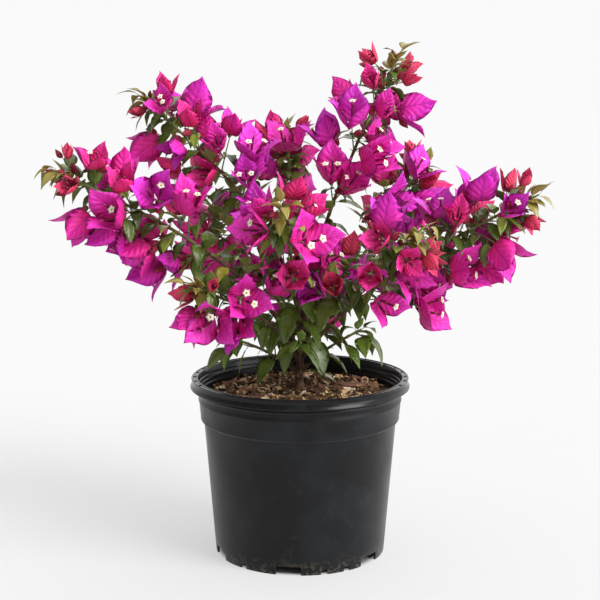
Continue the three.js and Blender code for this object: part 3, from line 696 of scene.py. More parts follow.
class Growth:
    """What grows on one limb."""

    def __init__(self, limb):
        self.limb, self.dice = limb, Dice(limb.seed)
        self.leaves, self.blooms, self.twigs, self.buds, self.nodes = [], [], [], [], []
        self.is_leafy = limb.name in LEAFY_STEMS
        self.flowers_from = 1 if self.is_leafy else FLOWERS_FROM if limb.is_bough else SHORT_STEM_FLOWERS_FROM
        self.grow()
        self.grow_tip()
        self.dice = Dice(limb.seed + 4096)
        self.grow_finer()

    def far(self, others, point, room):
        return all(math.dist(other.centre, point) > room for other in others)

    def is_free(self, centre, to_bloom, to_leaf):
        return self.far(self.blooms, centre, to_bloom) and self.far(self.leaves, centre, to_leaf)

    def add_leaf(self, root, out, size, droop, to_bloom=LEAF_TO_BLOOM, to_leaf=LEAF_TO_LEAF, **space):
        leaf = Leaf(root, out, size, droop)
        if self.is_free(leaf.centre, to_bloom, to_leaf * size) and fits_in(self.limb, leaf.outline, **space):
            self.leaves.append(leaf)

    def add_bloom(
        self, root, way, reach, lift, size, openness, to_bloom=BLOOM_TO_BLOOM, to_leaf=LEAF_TO_BLOOM
    ):
        end = root + way * reach
        axis = blend((way, 1), (UP, lift))
        bloom = Bloom(root, end, axis, size, 120 * self.dice.roll(), openness)
        if not self.is_free(bloom.centre, to_bloom, to_leaf) or not fits_in(self.limb, [*bloom.outline, end]):
            return False
        bloom.share = self.share
        self.blooms.append(bloom)
        return True

    def grow(self):
        limb, dice = self.limb, self.dice
        distance, node = limb.start + FIRST_NODE, 0
        while distance < limb.length - FIRST_NODE:
            share = self.share = distance / limb.length
            point, way = limb.along(distance)

            def around(extra):
                return at_bud(limb, way, node, extra)

            reach = mix(66, 20, share) * dice.between(0.8, 1.2)
            lift = dice.between(-0.45, 0.6)
            ripeness = min(max(1.9 - 1.3 * share + dice.between(-0.6, 0.4), 0), 1)
            has_twin = dice.roll() < 0.5
            droop = dice.roll()
            self.nodes.append((distance, share, point, way, around(0)))
            if share > self.flowers_from:
                for extra in SHOOT_TURNS:
                    out = blend((way, 0.5), (around(extra), 0.9), (UP, 0.1))
                    if not self.add_bloom(point, out, reach, lift, mix(0.8, 1, ripeness), ripeness):
                        continue
                    fork = point + out * FORK_SHARE * reach
                    if has_twin:
                        away = blend((out, 0.55), (around(extra + 100), 0.85))
                        self.add_bloom(fork, away, 0.6 * reach, -lift, mix(0.75, 0.95, ripeness), ripeness)
                    self.add_leaf(fork, blend((out, 0.4), (around(extra - 90), 0.9)), 0.7, droop)
                    break
            elif node % 2 == 0:
                out = blend((way, 0.5), (around(0), 0.9), (UP, 0.1))
                end = point + out * TWIG_SHARE * reach
                fork = mix(point, end, 0.6)
                if fits_in(limb, [end, fork]):
                    self.twigs.append((point, end))
                    self.add_leaf(mix(point, end, 0.9), out, 0.95, droop)
                    self.add_leaf(fork, blend((out, 0.3), (around(80), 0.9)), 0.85, 1 - droop)
                    self.add_leaf(fork, blend((out, 0.3), (around(-80), 0.9)), 0.85, droop)
            out = blend((way, 0.25), (around(180), 0.9), (UP, 0.1))
            self.add_leaf(point, out, mix(1.05, 0.7, share), droop)
            distance += mix(16, 9, share)
            node += 1

    def grow_tip(self):
        """The young tuft."""
        limb = self.limb
        for i in range(4):
            point, way = limb.along(limb.length - 1 - 3.5 * i)
            out = blend((way, 1.1), (at_bud(limb, way, i), 1))
            self.leaves.append(Leaf(point, out, 0.5, 0.2, tint="young" if limb.is_bough else None))

    def grow_finer(self):
        """Smaller leaves at the buds and forks, side twigs, second shoots and closed buds, in the same space."""
        for node, (distance, share, point, way, around) in enumerate(self.nodes):
            self.share = share
            if self.limb.is_bough and share < self.flowers_from and node % 2 == 1:
                self.grow_side_twig(share, point, way, around)
            elif not self.is_leafy and self.flowers_from - 0.1 < share < 0.9 and self.dice.roll() < 0.66:
                self.grow_side_bloom(node, share, point, way)
            self.grow_node_leaves(node, share, point, way)
        for bloom in list(self.blooms):
            self.grow_shoot(bloom)
        self.grow_tip_cluster()

    def grow_side_bloom(self, node, share, point, way):
        """A second flowering shoot from the bud, shorter than the first."""
        for extra in (180, 115, -115, 60, -60):
            out = blend((way, 0.4), (at_bud(self.limb, way, node, extra), 0.9), (UP, 0.15))
            ripeness = min(self.dice.between(0.5, 1.4), 1)
            size = self.dice.between(0.8, 1.0)
            reach = mix(46, 22, share) * self.dice.between(0.7, 1.2)
            lift = self.dice.between(-0.4, 0.6)
            if self.add_bloom(point, out, reach, lift, size, ripeness, *SIDE_BLOOM_ROOM):
                break

    def grow_node_leaves(self, node, share, point, way):
        for extra in (80, -80, 150):
            turn = self.limb.turn + GOLDEN_TURN * node + extra + self.dice.between(-20, 20)
            out = blend((way, self.dice.between(0.1, 0.5)), (round_stem(way, turn), 0.9), (UP, 0.1))
            size = mix(1.05, 0.6, share if self.limb.is_bough else 0) * self.dice.between(0.85, 1.12)
            if self.dice.roll() < (0.12 if self.is_leafy else 0.56):
                self.add_leaf(point, out, size, self.dice.roll(), *NODE_LEAF_ROOM, to_limb=FINE_CLEAR_LIMB)

    def grow_side_twig(self, share, point, way, around):
        out = blend((way, 0.6), (around, 0.8), (UP, 0.15))
        end = point + out * mix(34, 18, share) * self.dice.between(0.8, 1.15)
        if not fits_in(self.limb, [end]):
            return
        self.twigs.append((point, end))
        for along_twig, turn in ((1.0, 0), (0.72, 100), (0.5, -100)):
            aim = out if turn == 0 else blend((out, 0.4), (round_stem(out, turn), 0.9))
            root, size = mix(point, end, along_twig), self.dice.between(0.65, 0.95)
            self.add_leaf(root, aim, size, self.dice.roll(), *TWIG_LEAF_ROOM, to_limb=FINE_CLEAR_LIMB)

    def grow_shoot(self, bloom):
        way = unit(bloom.top - bloom.root)
        for along_shoot in (0.35, 0.7):
            root = mix(bloom.root, bloom.top, along_shoot)
            out = blend((way, 0.35), (round_stem(way, self.dice.between(0, 360)), 0.9))
            if self.dice.roll() < 0.75:
                self.add_leaf(root, out, self.dice.between(0.45, 0.75), self.dice.roll(), *SHOOT_LEAF_ROOM)
        for _ in range(2 if self.dice.roll() < 0.35 else 1):
            root = mix(bloom.root, bloom.top, self.dice.between(0.62, 0.86))
            way_out = blend((way, 0.7), (round_stem(way, self.dice.between(0, 360)), 0.8), (UP, -0.15))
            self.add_bud(root, way_out, self.dice.between(5, 11), self.dice.between(0.35, 1.0))

    def add_bud(self, root, way, stalk, ripeness):
        end = root + way * stalk
        length = mix(7, 16, ripeness)
        is_clear = self.far(self.blooms, end + way * length * 0.5, BUD_TO_BLOOM)
        if is_clear and fits_in(self.limb, [end, end + way * length]):
            self.buds.append((root, end, way, length, ripeness))

    def grow_tip_cluster(self):
        limb = self.limb
        for i in range(1 if self.is_leafy else 10):
            point, way = limb.along(limb.length + (TIP_RUN if limb.is_bough else 0) - 0.5 - 5.4 * i)
            out = blend((way, 1.5 - 0.12 * i), (at_bud(limb, way, i + 4), 1), (UP, 0.3))
            leaf = Leaf(point, out, self.dice.between(0.5, 0.66) + 0.03 * i, self.dice.between(0.1, 0.9))
            leaf.tint = "young" if limb.is_bough and i < 6 else None
            if self.far(self.blooms, leaf.centre, TIP_LEAF_TO_BLOOM):
                self.leaves.append(leaf)
        if limb.is_bough:
            for i in range(5):
                point, way = limb.along(limb.length - 3 - 6.5 * i)
                out = blend((way, 0.8), (at_bud(limb, way, i, 60), 1))
                self.add_bud(point, out, self.dice.between(3, 8), self.dice.between(0, 0.7))


growths = [Growth(limb) for limb in limbs]

# The blooms nearest the tips, and those that hang lowest, are young: smaller and half shut.
for growth in growths:
    for bloom in growth.blooms:
        if min(point[2] for point in bloom.outline) < LOW_BLOOM_HEIGHT:
            bloom.openness *= 0.5
            bloom.size *= 0.72
        if bloom.share > YOUNG_FROM:
            bloom.openness *= 0.62 if bloom.share < YOUNGEST_FROM else 0.42
            bloom.size *= 0.9 if bloom.share < YOUNGEST_FROM else 0.7


def gap(centre, others):
    """How far a centre is from the nearest of the others."""
    return np.linalg.norm(np.array(others) - centre, axis=1).min()


def free_room(points, limb_number, centre, others, room):
    """True if points are clear of the pot and of other wood, and their centre is a distance from the others."""
    if not clear_of_pot(points) or gap(centre, others) < room:
        return False
    wood_lines = np.delete(axis_lines, limb_number, axis=0), bough_lines, trunk_line
    return all(distances_to(points, lines).min() > FREE_CLEAR_LIMB for lines in wood_lines)


# Late blooms open on short shoots from the older wood, in what room is left in the middle of the bush.
late_dice = Dice(909)
blooms = [bloom.centre for growth in growths for bloom in growth.blooms]
leaves = [leaf.centre for growth in growths for leaf in growth.leaves]
for i, growth in enumerate(growths):
    opened = 0 if growth.limb.is_bough and growth.limb.name != "low_back" else LATE_BLOOMS_ON_A_STEM
    for _, share, point, way, _ in growth.nodes:
        for extra in range(0, 360, 45):
            out = blend((way, 0.4), (round_stem(way, extra + late_dice.between(-20, 20)), 0.9), (UP, 0.1))
            top = point + out * late_dice.between(22, 46)
            axis = blend((out, 1), (UP, late_dice.between(-0.3, 0.5)))
            size, spin = late_dice.between(0.8, 0.95), 120 * late_dice.roll()
            bloom = Bloom(point, top, axis, size, spin, late_dice.between(0.7, 1))
            if opened == LATE_BLOOMS_ON_A_STEM or share > 0.6 or bloom.centre[2] < LATE_BLOOMS_FROM:
                continue
            if gap(bloom.centre, leaves) < LATE_BLOOM_TO_LEAF:
                continue
            if free_room(np.array([*bloom.outline, top]), i, bloom.centre, blooms, LATE_BLOOM_ROOM):
                bloom.share = share
                growth.blooms.append(bloom)
                blooms.append(bloom.centre)
                opened += 1
                break

# Old leaves hang from the low part of each bough, in what room is left between the limbs.
old_dice = Dice(4242)
for i, growth in enumerate(growths[: len(boughs)]):
    limb = growth.limb
    for node, distance in enumerate(np.arange(26, limb.start + 60, 11)):
        point, way = limb.along(distance)
        for extra in (0, 180):
            out = at_bud(limb, way, node, extra + old_dice.between(-15, 15))
            out = blend((way, 0.2), (out, 0.9), (UP, -0.25))
            leaf = Leaf(point, out, old_dice.between(0.95, 1.2), old_dice.between(0.5, 1), tint="shaded")
            points = np.array([*leaf.outline, (leaf.foot + leaf.waist) / 2])
            if gap(leaf.centre, blooms) < OLD_LEAF_ROOM:
                continue
            if free_room(points, i, leaf.centre, leaves, OLD_LEAF_ROOM):
                growth.leaves.append(leaf)
                leaves.append(leaf.centre)

for growth in growths:
    if growth.is_leafy:
        growth.leaves = [leaf for leaf in growth.leaves if abs(leaf.tip[0]) > TRUNK_SHOWS or leaf.size < 0.6]

# ---------------------------------------------------------------- Stems, shoots and thorns
# The long shoots run on from the boughs: brown and woody first, then olive, and green where they are this year's,
# out to a thin young end. Every bloom and leaf has a thin green stalk, and curved thorns stand at the buds.

WOODY, OLIVE, GREEN = 0, 1, 2
WOODY_TO, OLIVE_TO, THORN_TURN = 0.52, 0.76, 25
stem_finishes = [
    bark_finish("brown_rind", "3f2c1e", "6f523a", "96795a"),
    bark_finish("olive_rind", "57502a", "7a6b3a", "9a8a58", 0.65),
    bark_finish("green_rind", "5c7030", "7f8c46", "a39a5e", 0.55),
]


def band(share):
    return WOODY if share < WOODY_TO else OLIVE if share < OLIVE_TO else GREEN


def add_tube(heap, points, radii, sides, slots):
    """Adds a round stem. slots is its material, or one for each ring of its faces."""
    if not isinstance(slots, int):
        slots = [slots[0], slots[-1]] + [slot for slot in slots for _ in range(sides)]
    heap.add(*tube(points, radii, sides), slots)


def arc(start, end, bow, steps):
    """Points from start to end that bow out sideways in the middle."""
    shares = np.linspace(0, 1, steps + 1)[:, None]
    return start + (end - start) * shares + bow * (4 * shares * (1 - shares))


stems, shoots, thorns = Heap(), Heap(), Heap()
for growth in growths:
    limb = growth.limb
    tip = limb.length + TIP_RUN if limb.is_bough else limb.length
    distances = np.arange(limb.start - 0.8 if limb.is_bough else 2.0, tip, 3.0)
    shares = distances / limb.length
    knots = 1 + 0.22 * sum(np.exp(-(((distances - node[0]) / 1.6) ** 2)) for node in growth.nodes)
    sway = [round_stem(limb.along(d)[1], 0) * math.sin(d / 9.0 + limb.seed) * 0.35 for d in distances]
    line = [limb.along(d)[0] + s * min(1, (d - distances[0]) / 20) for d, s in zip(distances, sway)]
    radii = [limb.radius(max(d, 0)) - 0.045 * max(d - limb.length, 0) for d in distances] * knots
    add_tube(stems, line, radii, 8, [band(share) for share in shares[:-1]])

    for start, end in growth.twigs:
        bow = np.array([0, 0, -0.06 * math.dist(start, end)])
        add_tube(shoots, arc(start, end, bow, 5), np.linspace(0.95, 0.6, 6), 5, OLIVE)
    for bloom in growth.blooms:
        reach = math.dist(bloom.root, bloom.top)
        bow = cross(unit(bloom.top - bloom.root), bloom.axis) * 0.12 * reach + UP * 0.05 * reach
        add_tube(shoots, arc(bloom.root, bloom.top, bow, 6), np.linspace(0.85, 0.55, 7), 5, GREEN)
    for leaf in growth.leaves:
        stalk = arc(leaf.root, leaf.foot, UP * 0.4 * leaf.size, 2)
        add_tube(shoots, stalk, np.array([0.6, 0.45, 0.5]) * max(leaf.size, 0.55), 4, GREEN)
    for root, end, way, length, ripeness in growth.buds:
        add_tube(shoots, arc(root, end, UP * -0.5, 3), [0.5, 0.4, 0.38, 0.45], 4, GREEN)

    thorn_dice = Dice(limb.seed + 99)
    for node, (distance, share, point, way, around) in enumerate(growth.nodes):
        out = blend((at_bud(limb, way, node, THORN_TURN), 1), (way, thorn_dice.between(-0.1, 0.4)))
        length = mix(8, 4, share) * thorn_dice.between(0.7, 1.1)
        root = point + out * limb.radius(distance) * 0.6
        curve = arc(root, root + out * length, way * -0.12 * length, 3)
        add_tube(thorns, curve, [0.75, 0.5, 0.28, 0.04], 5, band(share))

foliage_nodes = [f"foliage_{limb.name}" for limb in limbs]
stems.make("long_stems", stem_finishes, "bark", foliage_nodes)
shoots.make("flowering_shoots", stem_finishes, "foliage_in_flower")
thorns.make("thorns", stem_finishes, "bark")

# ---------------------------------------------------------------- Leaves
# Simple pointed leaves, folded a little along the midrib and arched over, with a glossy dark upper side and a dull
# pale underside. The youngest, at the tips, are bronze. Each tint is one joined piece.


def blade_faces(rows, columns):
    """Faces of a thin closed blade, and the sheet that each is in. Two sheets share their rim, foot and tip."""
    second = 2 + (rows - 1) * (columns + 1)

    def upper(i, j):
        return 2 + (i - 1) * (columns + 1) + j

    def lower(i, j):
        return upper(i, j) if j in (0, columns) else second + (i - 1) * (columns - 1) + j - 1

    faces, sheets = [], []
    for sheet, at in enumerate((upper, lower)):
        for j in range(columns):
            strip = [(0, at(1, j + 1), at(1, j)), (1, at(rows - 1, j), at(rows - 1, j + 1))]
            strip += [(at(i, j), at(i, j + 1), at(i + 1, j + 1), at(i + 1, j)) for i in range(1, rows - 1)]
            faces += [face[::-1] for face in strip] if sheet else strip
            sheets += [sheet] * len(strip)
    return faces, sheets


def blade_points(grid, thickness):
    """Points of a thin closed blade round a grid of rows and columns, in the order of blade_faces."""
    normals = np.cross(np.gradient(grid, axis=1), np.gradient(grid, axis=0))
    normals /= np.linalg.norm(normals, axis=2)[..., None] + 1e-9
    half = normals * thickness / 2
    half[:, [0, -1]] = 0
    middle = grid.shape[1] // 2
    upper, lower = (grid + half)[1:-1], (grid - half)[1:-1, 1:-1]
    return np.concatenate([grid[[0, -1], middle], upper.reshape(-1, 3), lower.reshape(-1, 3)])


def blade_spots(rows, columns):
    """The flat place of every point of blade_points: across from 0 to 1, and up from foot to tip."""
    grid = np.stack(np.meshgrid(columns, rows), axis=-1)
    middle = grid.shape[1] // 2
    return np.concatenate([grid[[0, -1], middle], grid[1:-1].reshape(-1, 2), grid[1:-1, 1:-1].reshape(-1, 2)])


# Veins of a leaf or bract, from its flat place: a midrib and side veins that bend up to the tip.
veins, given, put_out = make_group("veins", ["Place", "Pairs", "Slant"], ["Midrib", "Side Veins", "Pucker"])
across, up, _ = veins.parts(given[0])
off = veins.math("ABSOLUTE", veins.math("SUBTRACT", across, 0.5))
slant = veins.math("MULTIPLY", veins.math("POWER", off, 0.8), given[2])
phase = veins.math("FRACT", veins.math("SUBTRACT", veins.math("MULTIPLY", up, given[1]), slant))
near = veins.math("ABSOLUTE", veins.math("SUBTRACT", phase, 0.5))
side_veins = veins.math("MULTIPLY", veins.ramp(near, 0, 0.11, 1, 0), veins.ramp(off, 0.3, 0.48, 1, 0))
pucker = veins.math("MULTIPLY", veins.ramp(near, 0, 0.4), veins.ramp(off, 0, 0.12))
for value, socket in zip((veins.ramp(off, 0.012, 0.05, 1, 0), side_veins, pucker), put_out):
    veins.feed(value, socket)
VEIN_PAIRS, VEIN_SLANT, BLADE_THICKNESS = 6.5, 3.4, 0.35


def blade_finish(name, body, foot, vein, rough, depth, vein_share, foot_share=0.5, **sockets):
    """The face of a leaf or bract: a tone that turns towards its foot, mottling, and a network of veins."""
    finish = Finish(name, roughness=rough, **sockets)
    flat = finish.add("ShaderNodeUVMap", uv_map="blade").outputs[0]
    lines = finish.add("ShaderNodeGroup", (flat, VEIN_PAIRS, VEIN_SLANT), node_tree=veins.tree).outputs
    tone = finish.mix(finish.ramp(finish.parts(flat)[1], 0.05, 0.75, foot_share, 0), body, foot)
    mottle = finish.mask(120.0, 0.3, 0.7)
    tone = finish.coat(tone, vein, mottle, 0.3)
    tone = finish.coat(tone, vein, finish.math("MAXIMUM", lines[0], lines[1]), vein_share)
    return finish.paint_with(tone, None, finish.ramp(mottle, 0, 1, lines[2], 1), depth, 0.0016)


BLADE_ROWS = np.array([0.0, 0.08, 0.2, 0.34, 0.49, 0.64, 0.78, 0.9, 1.0])
BLADE_COLUMNS = np.array([-1.0, -0.5, 0.0, 0.5, 1.0])
LEAF_OUTLINE = np.array([0.0, 0.54, 0.86, 1.0, 0.97, 0.78, 0.48, 0.2, 0.0])
faces_of_blade, sheets_of_blade = blade_faces(len(BLADE_ROWS) - 1, len(BLADE_COLUMNS) - 1)
spots_of_blade = blade_spots(BLADE_ROWS, (BLADE_COLUMNS + 1) / 2)


def leaf_grid(leaf, dice):
    """The rows and columns of a leaf's blade: an arched midrib, raised wavy edges and a drawn-out tip."""
    t = BLADE_ROWS[:, None]
    waist = 0.42
    control = (leaf.waist - (1 - waist) ** 2 * leaf.foot - waist**2 * leaf.tip) / (2 * waist * (1 - waist))
    midrib = (1 - t) ** 2 * leaf.foot + 2 * t * (1 - t) * control + t**2 * leaf.tip
    twist = dice.between(-0.35, 0.35)
    side = unit(leaf.side + leaf.face * twist)
    face = unit(leaf.face - leaf.side * twist)
    half = LEAF_OUTLINE * LEAF_WIDTH / 2 * leaf.size * dice.between(0.88, 1.06)
    fold = dice.between(0.1, 0.4)
    ripple = 0.07 * np.sin(BLADE_ROWS * 9 + dice.between(0, 6))[:, None]
    wave = ripple * BLADE_COLUMNS**2 * np.sign(BLADE_COLUMNS)
    raised = half[:, None] * (fold * np.abs(BLADE_COLUMNS) ** 1.3 + wave)
    curl = face * (-0.1 * LEAF_LENGTH * leaf.size * dice.between(0, 1)) * t**3
    flat = side * (half[:, None] * BLADE_COLUMNS * math.sqrt(1 - (0.6 * fold) ** 2))[..., None]
    return (midrib + curl)[:, None] + flat + face * raised[..., None]


leaf_dice = Dice(31)
LEAF_TINTS = ["dark"] * 19 + ["green"] * 16 + ["light"] * 10 + ["turning"]
leaf_heaps = {tint: Heap() for tint in ("dark", "green", "light", "turning", "young", "shaded")}
for growth in growths:
    for leaf in growth.leaves:
        tint = leaf.tint or LEAF_TINTS[int(leaf_dice.roll() * len(LEAF_TINTS))]
        if growth.is_leafy or leaf.tint == "shaded":
            tint = "shaded"
        blade = blade_points(leaf_grid(leaf, leaf_dice), BLADE_THICKNESS * max(leaf.size, 0.6))
        leaf_heaps[tint].add(blade, faces_of_blade, sheets_of_blade, spots_of_blade)

# upper side, foot, veins and underside
LEAF_COLORS = {
    "dark": ("304410", "3e5214", "728840", "5e7232"),
    "green": ("4c6018", "566a1c", "869850", "748640"),
    "light": ("7c9030", "889834", "aab862", "98a458"),
    "turning": ("a89a28", "7e8a2c", "c8bc58", "a09a48"),
    "young": ("82802e", "a06c42", "b09a58", "8e8644"),
    "shaded": ("485e16", "546a1c", "849a4c", "6c8240"),
}
for tint, (upper, foot, vein, under) in LEAF_COLORS.items():
    finishes = [
        blade_finish(f"leaf_{tint}_{side}", color, foot, vein, rough, 0.15, 0.24, specular_ior_level=gloss)
        for side, color, rough, gloss in (("upper", upper, 0.26, 0.5), ("under", under, 0.6, 0.2))
    ]
    slot = "leafy_foliage" if tint == "shaded" else "foliage_in_flower"
    leaf_heaps[tint].make(f"leaves_{tint}", finishes, slot)

# ---------------------------------------------------------------- Bracts
# The papery coloured leaves round the flowers, three to a bloom. They meet in a cup, keeled along the midrib and
# crinkled at the margin, with drawn-out tips that turn out. Crimson at first, they ripen by rose to magenta.

BRACT_OUTLINE = np.array([0.3, 0.72, 0.95, 1.04, 1.02, 0.88, 0.56, 0.19, 0.0])
BRACT_WIDTH, YOUNG_BRACT_WIDTH, BRACT_SEAM_TURN = 33.5, 17, 61
# midrib, as reach and height: of a shut bloom, of a ripe lantern, and of a ripe star
BRACT_RIBS = [
    np.array([(0.8, 0), (7, -1), (8, 20), (8.5, 29)]),
    np.array([(1.0, 0), (16, -2), (10, 28), (24, 38)]),
    np.array([(1.0, 0), (15, 0), (20, 20), (35, 26)]),
]


def bract_grid(bloom, turn, flare, dice):
    """The rows and columns of one bract, nearly flat across, whose margins meet its neighbours' at a seam."""
    size, ripe = bloom.size, bloom.openness
    shut, lantern, star = BRACT_RIBS
    rib = mix(shut, mix(lantern, star, min(max(flare + dice.between(-0.15, 0.15), 0), 1)), ripe)
    t = np.linspace(0, 1, 33)
    weights = np.array([(1 - t) ** 3, 3 * (1 - t) ** 2 * t, 3 * (1 - t) * t**2, t**3])
    curve = weights.T @ rib
    run = np.concatenate([[0], np.cumsum(np.hypot(*np.diff(curve, axis=0).T))])
    reach, height = (np.interp(BLADE_ROWS * run[-1], run, part) * size for part in curve.T)
    rows, x = BLADE_ROWS[:, None], BLADE_COLUMNS
    width = mix(YOUNG_BRACT_WIDTH, BRACT_WIDTH, ripe)
    half = (BRACT_OUTLINE * width / 2 * size)[:, None] * dice.between(0.93, 1.05)
    crinkle = np.sin(rows * 10 + dice.between(0, 6)) * x * np.abs(x) * 1.3 * size * (rows > 0.15)
    cup = dice.between(0.1, 0.3)
    radial = reach[:, None] - cup * half * x**2 + 0.7 * size * (1 - np.abs(x)) * (rows < 0.95) + crinkle
    across = half * x + dice.between(-1.5, 1.5) * rows**2 * size
    angles = np.degrees(np.arctan2(across, np.maximum(radial, 0.3)))
    seam = BRACT_SEAM_TURN
    angles = np.where(np.abs(angles) > seam, np.sign(angles) * (seam + 0.1 * (np.abs(angles) - seam)), angles)
    distance = np.hypot(across, radial)
    rise = height[:, None] + 0.8 * crinkle + 0.04 * half * np.abs(x)
    return bloom.top + bloom.ray(turn + angles) * distance[..., None] + bloom.axis * rise[..., None]


bract_dice = Dice(77)
bract_heaps = {tint: Heap() for tint in ("violet", "magenta", "rose", "crimson")}
for growth in growths:
    for bloom in growth.blooms:
        ripe = bloom.openness + bract_dice.between(-0.15, 0.15) - max(bloom.share - 0.87, 0) * 4
        tint = "crimson" if ripe < 0.3 else "rose" if ripe < 0.55 else "magenta"
        if tint == "magenta" and bract_dice.roll() < 0.5:
            tint = "violet"
        flare = bract_dice.between(0.65, 1) if bract_dice.roll() < 0.5 else bract_dice.between(0, 0.35)
        for k in range(3):
            blade = blade_points(bract_grid(bloom, bloom.spin + 120 * k, flare, bract_dice), BLADE_THICKNESS)
            bract_heaps[tint].add(blade, faces_of_blade, sheets_of_blade, spots_of_blade)

# inside, outside, foot and veins
BRACT_COLORS = {
    "violet": ("f04ae0", "e230c4", "e22c88", "a00c88"),
    "magenta": ("f640c8", "ec2ca8", "e42c6e", "a20a6c"),
    "rose": ("fa40aa", "f03088", "e4385c", "a20c4e"),
    "crimson": ("fa5484", "ee466e", "d03650", "8e1240"),
}
for tint, (inside, outside, foot, vein) in BRACT_COLORS.items():
    finishes = [
        blade_finish(f"bract_{tint}_{side}", color, foot, vein, 0.5, 0.7, *shares, specular_ior_level=0.26)
        for side, color, shares in (("inside", inside, (0.38, 0.45)), ("outside", outside, (0.55, 0.8)))
    ]
    bract_heaps[tint].make(f"bracts_{tint}", finishes, "foliage_in_flower")

# ---------------------------------------------------------------- Flowers
# The true flowers: three slender maroon tubes in each cup, one on the midrib of every bract. In a ripe bloom one
# or two have opened at the mouth into a small cream star with a green eye.

tubes, stars = Heap(), Heap()
STAR_TURNS = np.radians(36 * np.arange(10))
STAR_FACES = [(k, (k + 1) % 10, 10 + (k + 1) % 10, 10 + k) for k in range(10)]
STAR_FACES += [(10 + k, 10 + (k + 1) % 10, 20) for k in range(10)]
STAR_FACES += [((k + 1) % 10, k, 21) for k in range(10)]


def add_star(mouth, way, size):
    """An opened flower: five lobes round a hollow eye, on the end of its tube."""
    side = unit(sideways(way))
    over = cross(way, side)
    rays = np.cos(STAR_TURNS)[:, None] * side + np.sin(STAR_TURNS)[:, None] * over
    lobes = np.where(np.arange(10) % 2 == 0, 4.9, 3.3)[:, None] * size
    rim = mouth + rays * lobes + way * 0.9 * size
    throat = mouth + rays * 1.3 * size + way * 0.5 * size
    points = np.concatenate([rim, throat, [mouth - way * 0.4 * size, mouth - way * 1.0 * size]])
    stars.add(points, STAR_FACES, [0] * 10 + [1] * 10 + [0] * 10)


flower_dice = Dice(55)
for growth in growths:
    for bloom in growth.blooms:
        opened = 0
        for k in range(3):
            turn = bloom.spin + 120 * k + flower_dice.between(-12, 12)
            root = bloom.at(turn, 0.1 * bloom.height, mix(2.0, 4.6, bloom.openness) * bloom.size)
            flare = mix(0.05, 0.34, bloom.openness)
            way = blend((bloom.axis, 1), (bloom.ray(turn), flare * flower_dice.between(0.4, 1.2)))
            length = mix(15, 19, bloom.openness) * bloom.size * flower_dice.between(0.85, 1.1)
            bow = bloom.ray(turn) * 0.6 * bloom.size
            line = arc(root, root + way * length, bow, 6)
            girth = np.array([0.7, 1.5, 1.6, 1.1, 1.05, 1.3, 1.45]) * bloom.size
            wants_star = bloom.openness > 0.6 and opened < 2 and flower_dice.roll() < 0.5
            if not wants_star:
                girth[-1] = 0.5 * bloom.size
            add_tube(tubes, line, girth, 6, [0, 0, 0, 0, 0, 1])
            if wants_star:
                opened += 1
                add_star(line[-1], unit(line[-1] - line[-2]), bloom.size)

tube_red = chip_finish("flower_tube_maroon", "5a0f34", "7f1c48", 300.0)
tube_tip = chip_finish("flower_tube_tip", "8c2a4c", "b25a70", 300.0)
tubes.make("flower_tubes", [tube_red, tube_tip], "foliage_in_flower")
cream = chip_finish("flower_cream", "f3ead0", "fff8e6", 400.0)
eye = chip_finish("flower_eye", "8f9a30", "c2c25a", 400.0)
stars.make("open_flowers", [cream, eye], "foliage_in_flower")

# ---------------------------------------------------------------- Buds
# Bracts that are still shut: small ribbed lanterns with a drawn-out point, crimson where they are nearly ripe and
# maroon green before that, in clusters at the forks and tips.

BUD_RISE = np.array([0.0, 0.1, 0.35, 0.62, 0.85, 1.0])
BUD_GIRTH = np.array([0.05, 0.2, 0.29, 0.22, 0.1, 0.01])


def add_bud_shape(heap, end, way, length):
    """A lantern with three ribs."""
    line = end + np.outer(BUD_RISE * length, way)
    shape, faces = tube(line, BUD_GIRTH * length, 6)
    centres = np.repeat(line, 6, axis=0)
    ribs = np.tile([1.12, 0.8], len(shape) // 2)[:, None]
    heap.add(centres + (shape - centres) * ribs, faces)


bud_heaps = {tint: Heap() for tint in ("crimson", "maroon")}
for growth in growths:
    for root, end, way, length, ripeness in growth.buds:
        add_bud_shape(bud_heaps["crimson" if ripeness > 0.45 else "maroon"], end, way, length)
for tint, colors in {"crimson": ("6e1428", "a62c44"), "maroon": ("4e2620", "7a4034")}.items():
    bud_heaps[tint].make(f"buds_{tint}", [chip_finish(f"bud_{tint}", *colors, 340.0)], "foliage_in_flower")
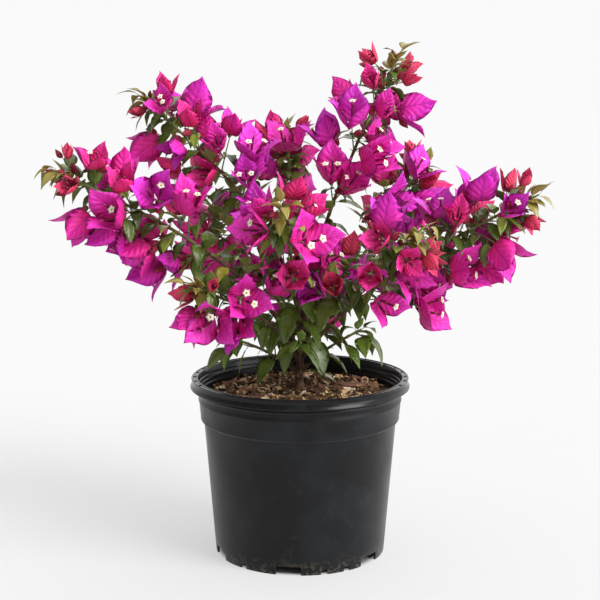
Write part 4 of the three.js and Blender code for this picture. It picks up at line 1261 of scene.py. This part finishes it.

# ---------------------------------------------------------------- Studio
# A wide pale floor under a pale even backdrop. The floor glows faintly all over, painted light that lifts the cast
# shadows, with the glow cut off under the pot's foot as painted shade. A large soft key light shines from the right
# and a little in front, with a weak low one beside it, and the camera stands at eye level with the bush.

FLOOR_SIZE, FLOOR_PAINTED_GLOW = 24.0, 0.485
bpy.ops.mesh.primitive_circle_add(vertices=96, radius=FLOOR_SIZE, fill_type="NGON")
studio_floor = bpy.context.object
studio_floor.name = "studio_floor"
floor_paint = Finish("pale_floor", roughness=0.95, specular_ior_level=0.0, emission_color=(1, 1, 1, 1))
floor_paint.paint_with(floor_paint.mix(floor_paint.mask(3.0, 0.3, 0.7), "979797", "989898"))
floor_reach = floor_paint.add("ShaderNodeVectorMath", [floor_paint.place], operation="LENGTH").outputs["Value"]
# Painted light: the floor glows so that the cast shadows on it stay pale. Inside the pot's foot the glow fades to
# nothing, as painted shade under the pot.
floor_painted_glow_and_shade = floor_paint.ramp(floor_reach, 0.086, 0.093, 0, FLOOR_PAINTED_GLOW)
floor_paint.feed(floor_painted_glow_and_shade, floor_paint.shader.inputs["Emission Strength"])
studio_floor.data.materials.append(floor_paint.material)

world = bpy.data.worlds.new("studio_world")
bpy.context.scene.world = world
world.use_nodes = True
sky = Nodes(world.node_tree)
sky_way = sky.add("ShaderNodeTexCoord").outputs["Generated"]
slope = sky.add("ShaderNodeVectorMath", (sky_way, (0.5, 0.42, 0.2)), operation="DOT_PRODUCT").outputs["Value"]
fill_light = sky.tree.nodes["Background"]
sky.feed((1, 1, 1, 1), fill_light.inputs[0])
sky.feed(sky.math("ADD", slope, 0.86), fill_light.inputs[1])
backdrop = sky.add("ShaderNodeBackground", [(0.955, 0.955, 0.955, 1)])
seen = sky.add("ShaderNodeLightPath").outputs["Is Camera Ray"]
eye_or_light = sky.add("ShaderNodeMixShader", (seen, fill_light.outputs[0], backdrop.outputs[0]))
sky.feed(eye_or_light.outputs[0], sky.tree.nodes["World Output"].inputs[0])

# name, heading and height in degrees, energy, softness in degrees, and where it stands
for name, heading, height, energy, softness, place in (
    ("soft_key", -34, 38, 2.4, 34, (2, -1, 2)),
    ("low_side_light", -30, 7, 1.3, 40, (2, -1, 0.5)),
):
    bpy.ops.object.light_add(type="SUN", location=place)
    light = bpy.context.object
    light.name = name
    light.data.energy, light.data.angle = energy, math.radians(softness)
    light.rotation_euler = (math.radians(90 - height), 0, math.radians(90 + heading))

CAMERA_BACK, CAMERA_HEIGHT, CAMERA_DIP = 1.405, 0.508, 9.3
FOCAL_PIXELS, FRAME_PIXELS, SENSOR = 1312, 600, 36
camera_way = (math.radians(90 - CAMERA_DIP), 0, 0)
bpy.ops.object.camera_add(location=(0, -CAMERA_BACK, CAMERA_HEIGHT), rotation=camera_way)
camera = bpy.context.object
camera.data.sensor_width = SENSOR
camera.data.lens = SENSOR * FOCAL_PIXELS / FRAME_PIXELS
bpy.context.scene.camera = camera
bpy.context.scene.view_settings.view_transform = "Standard"
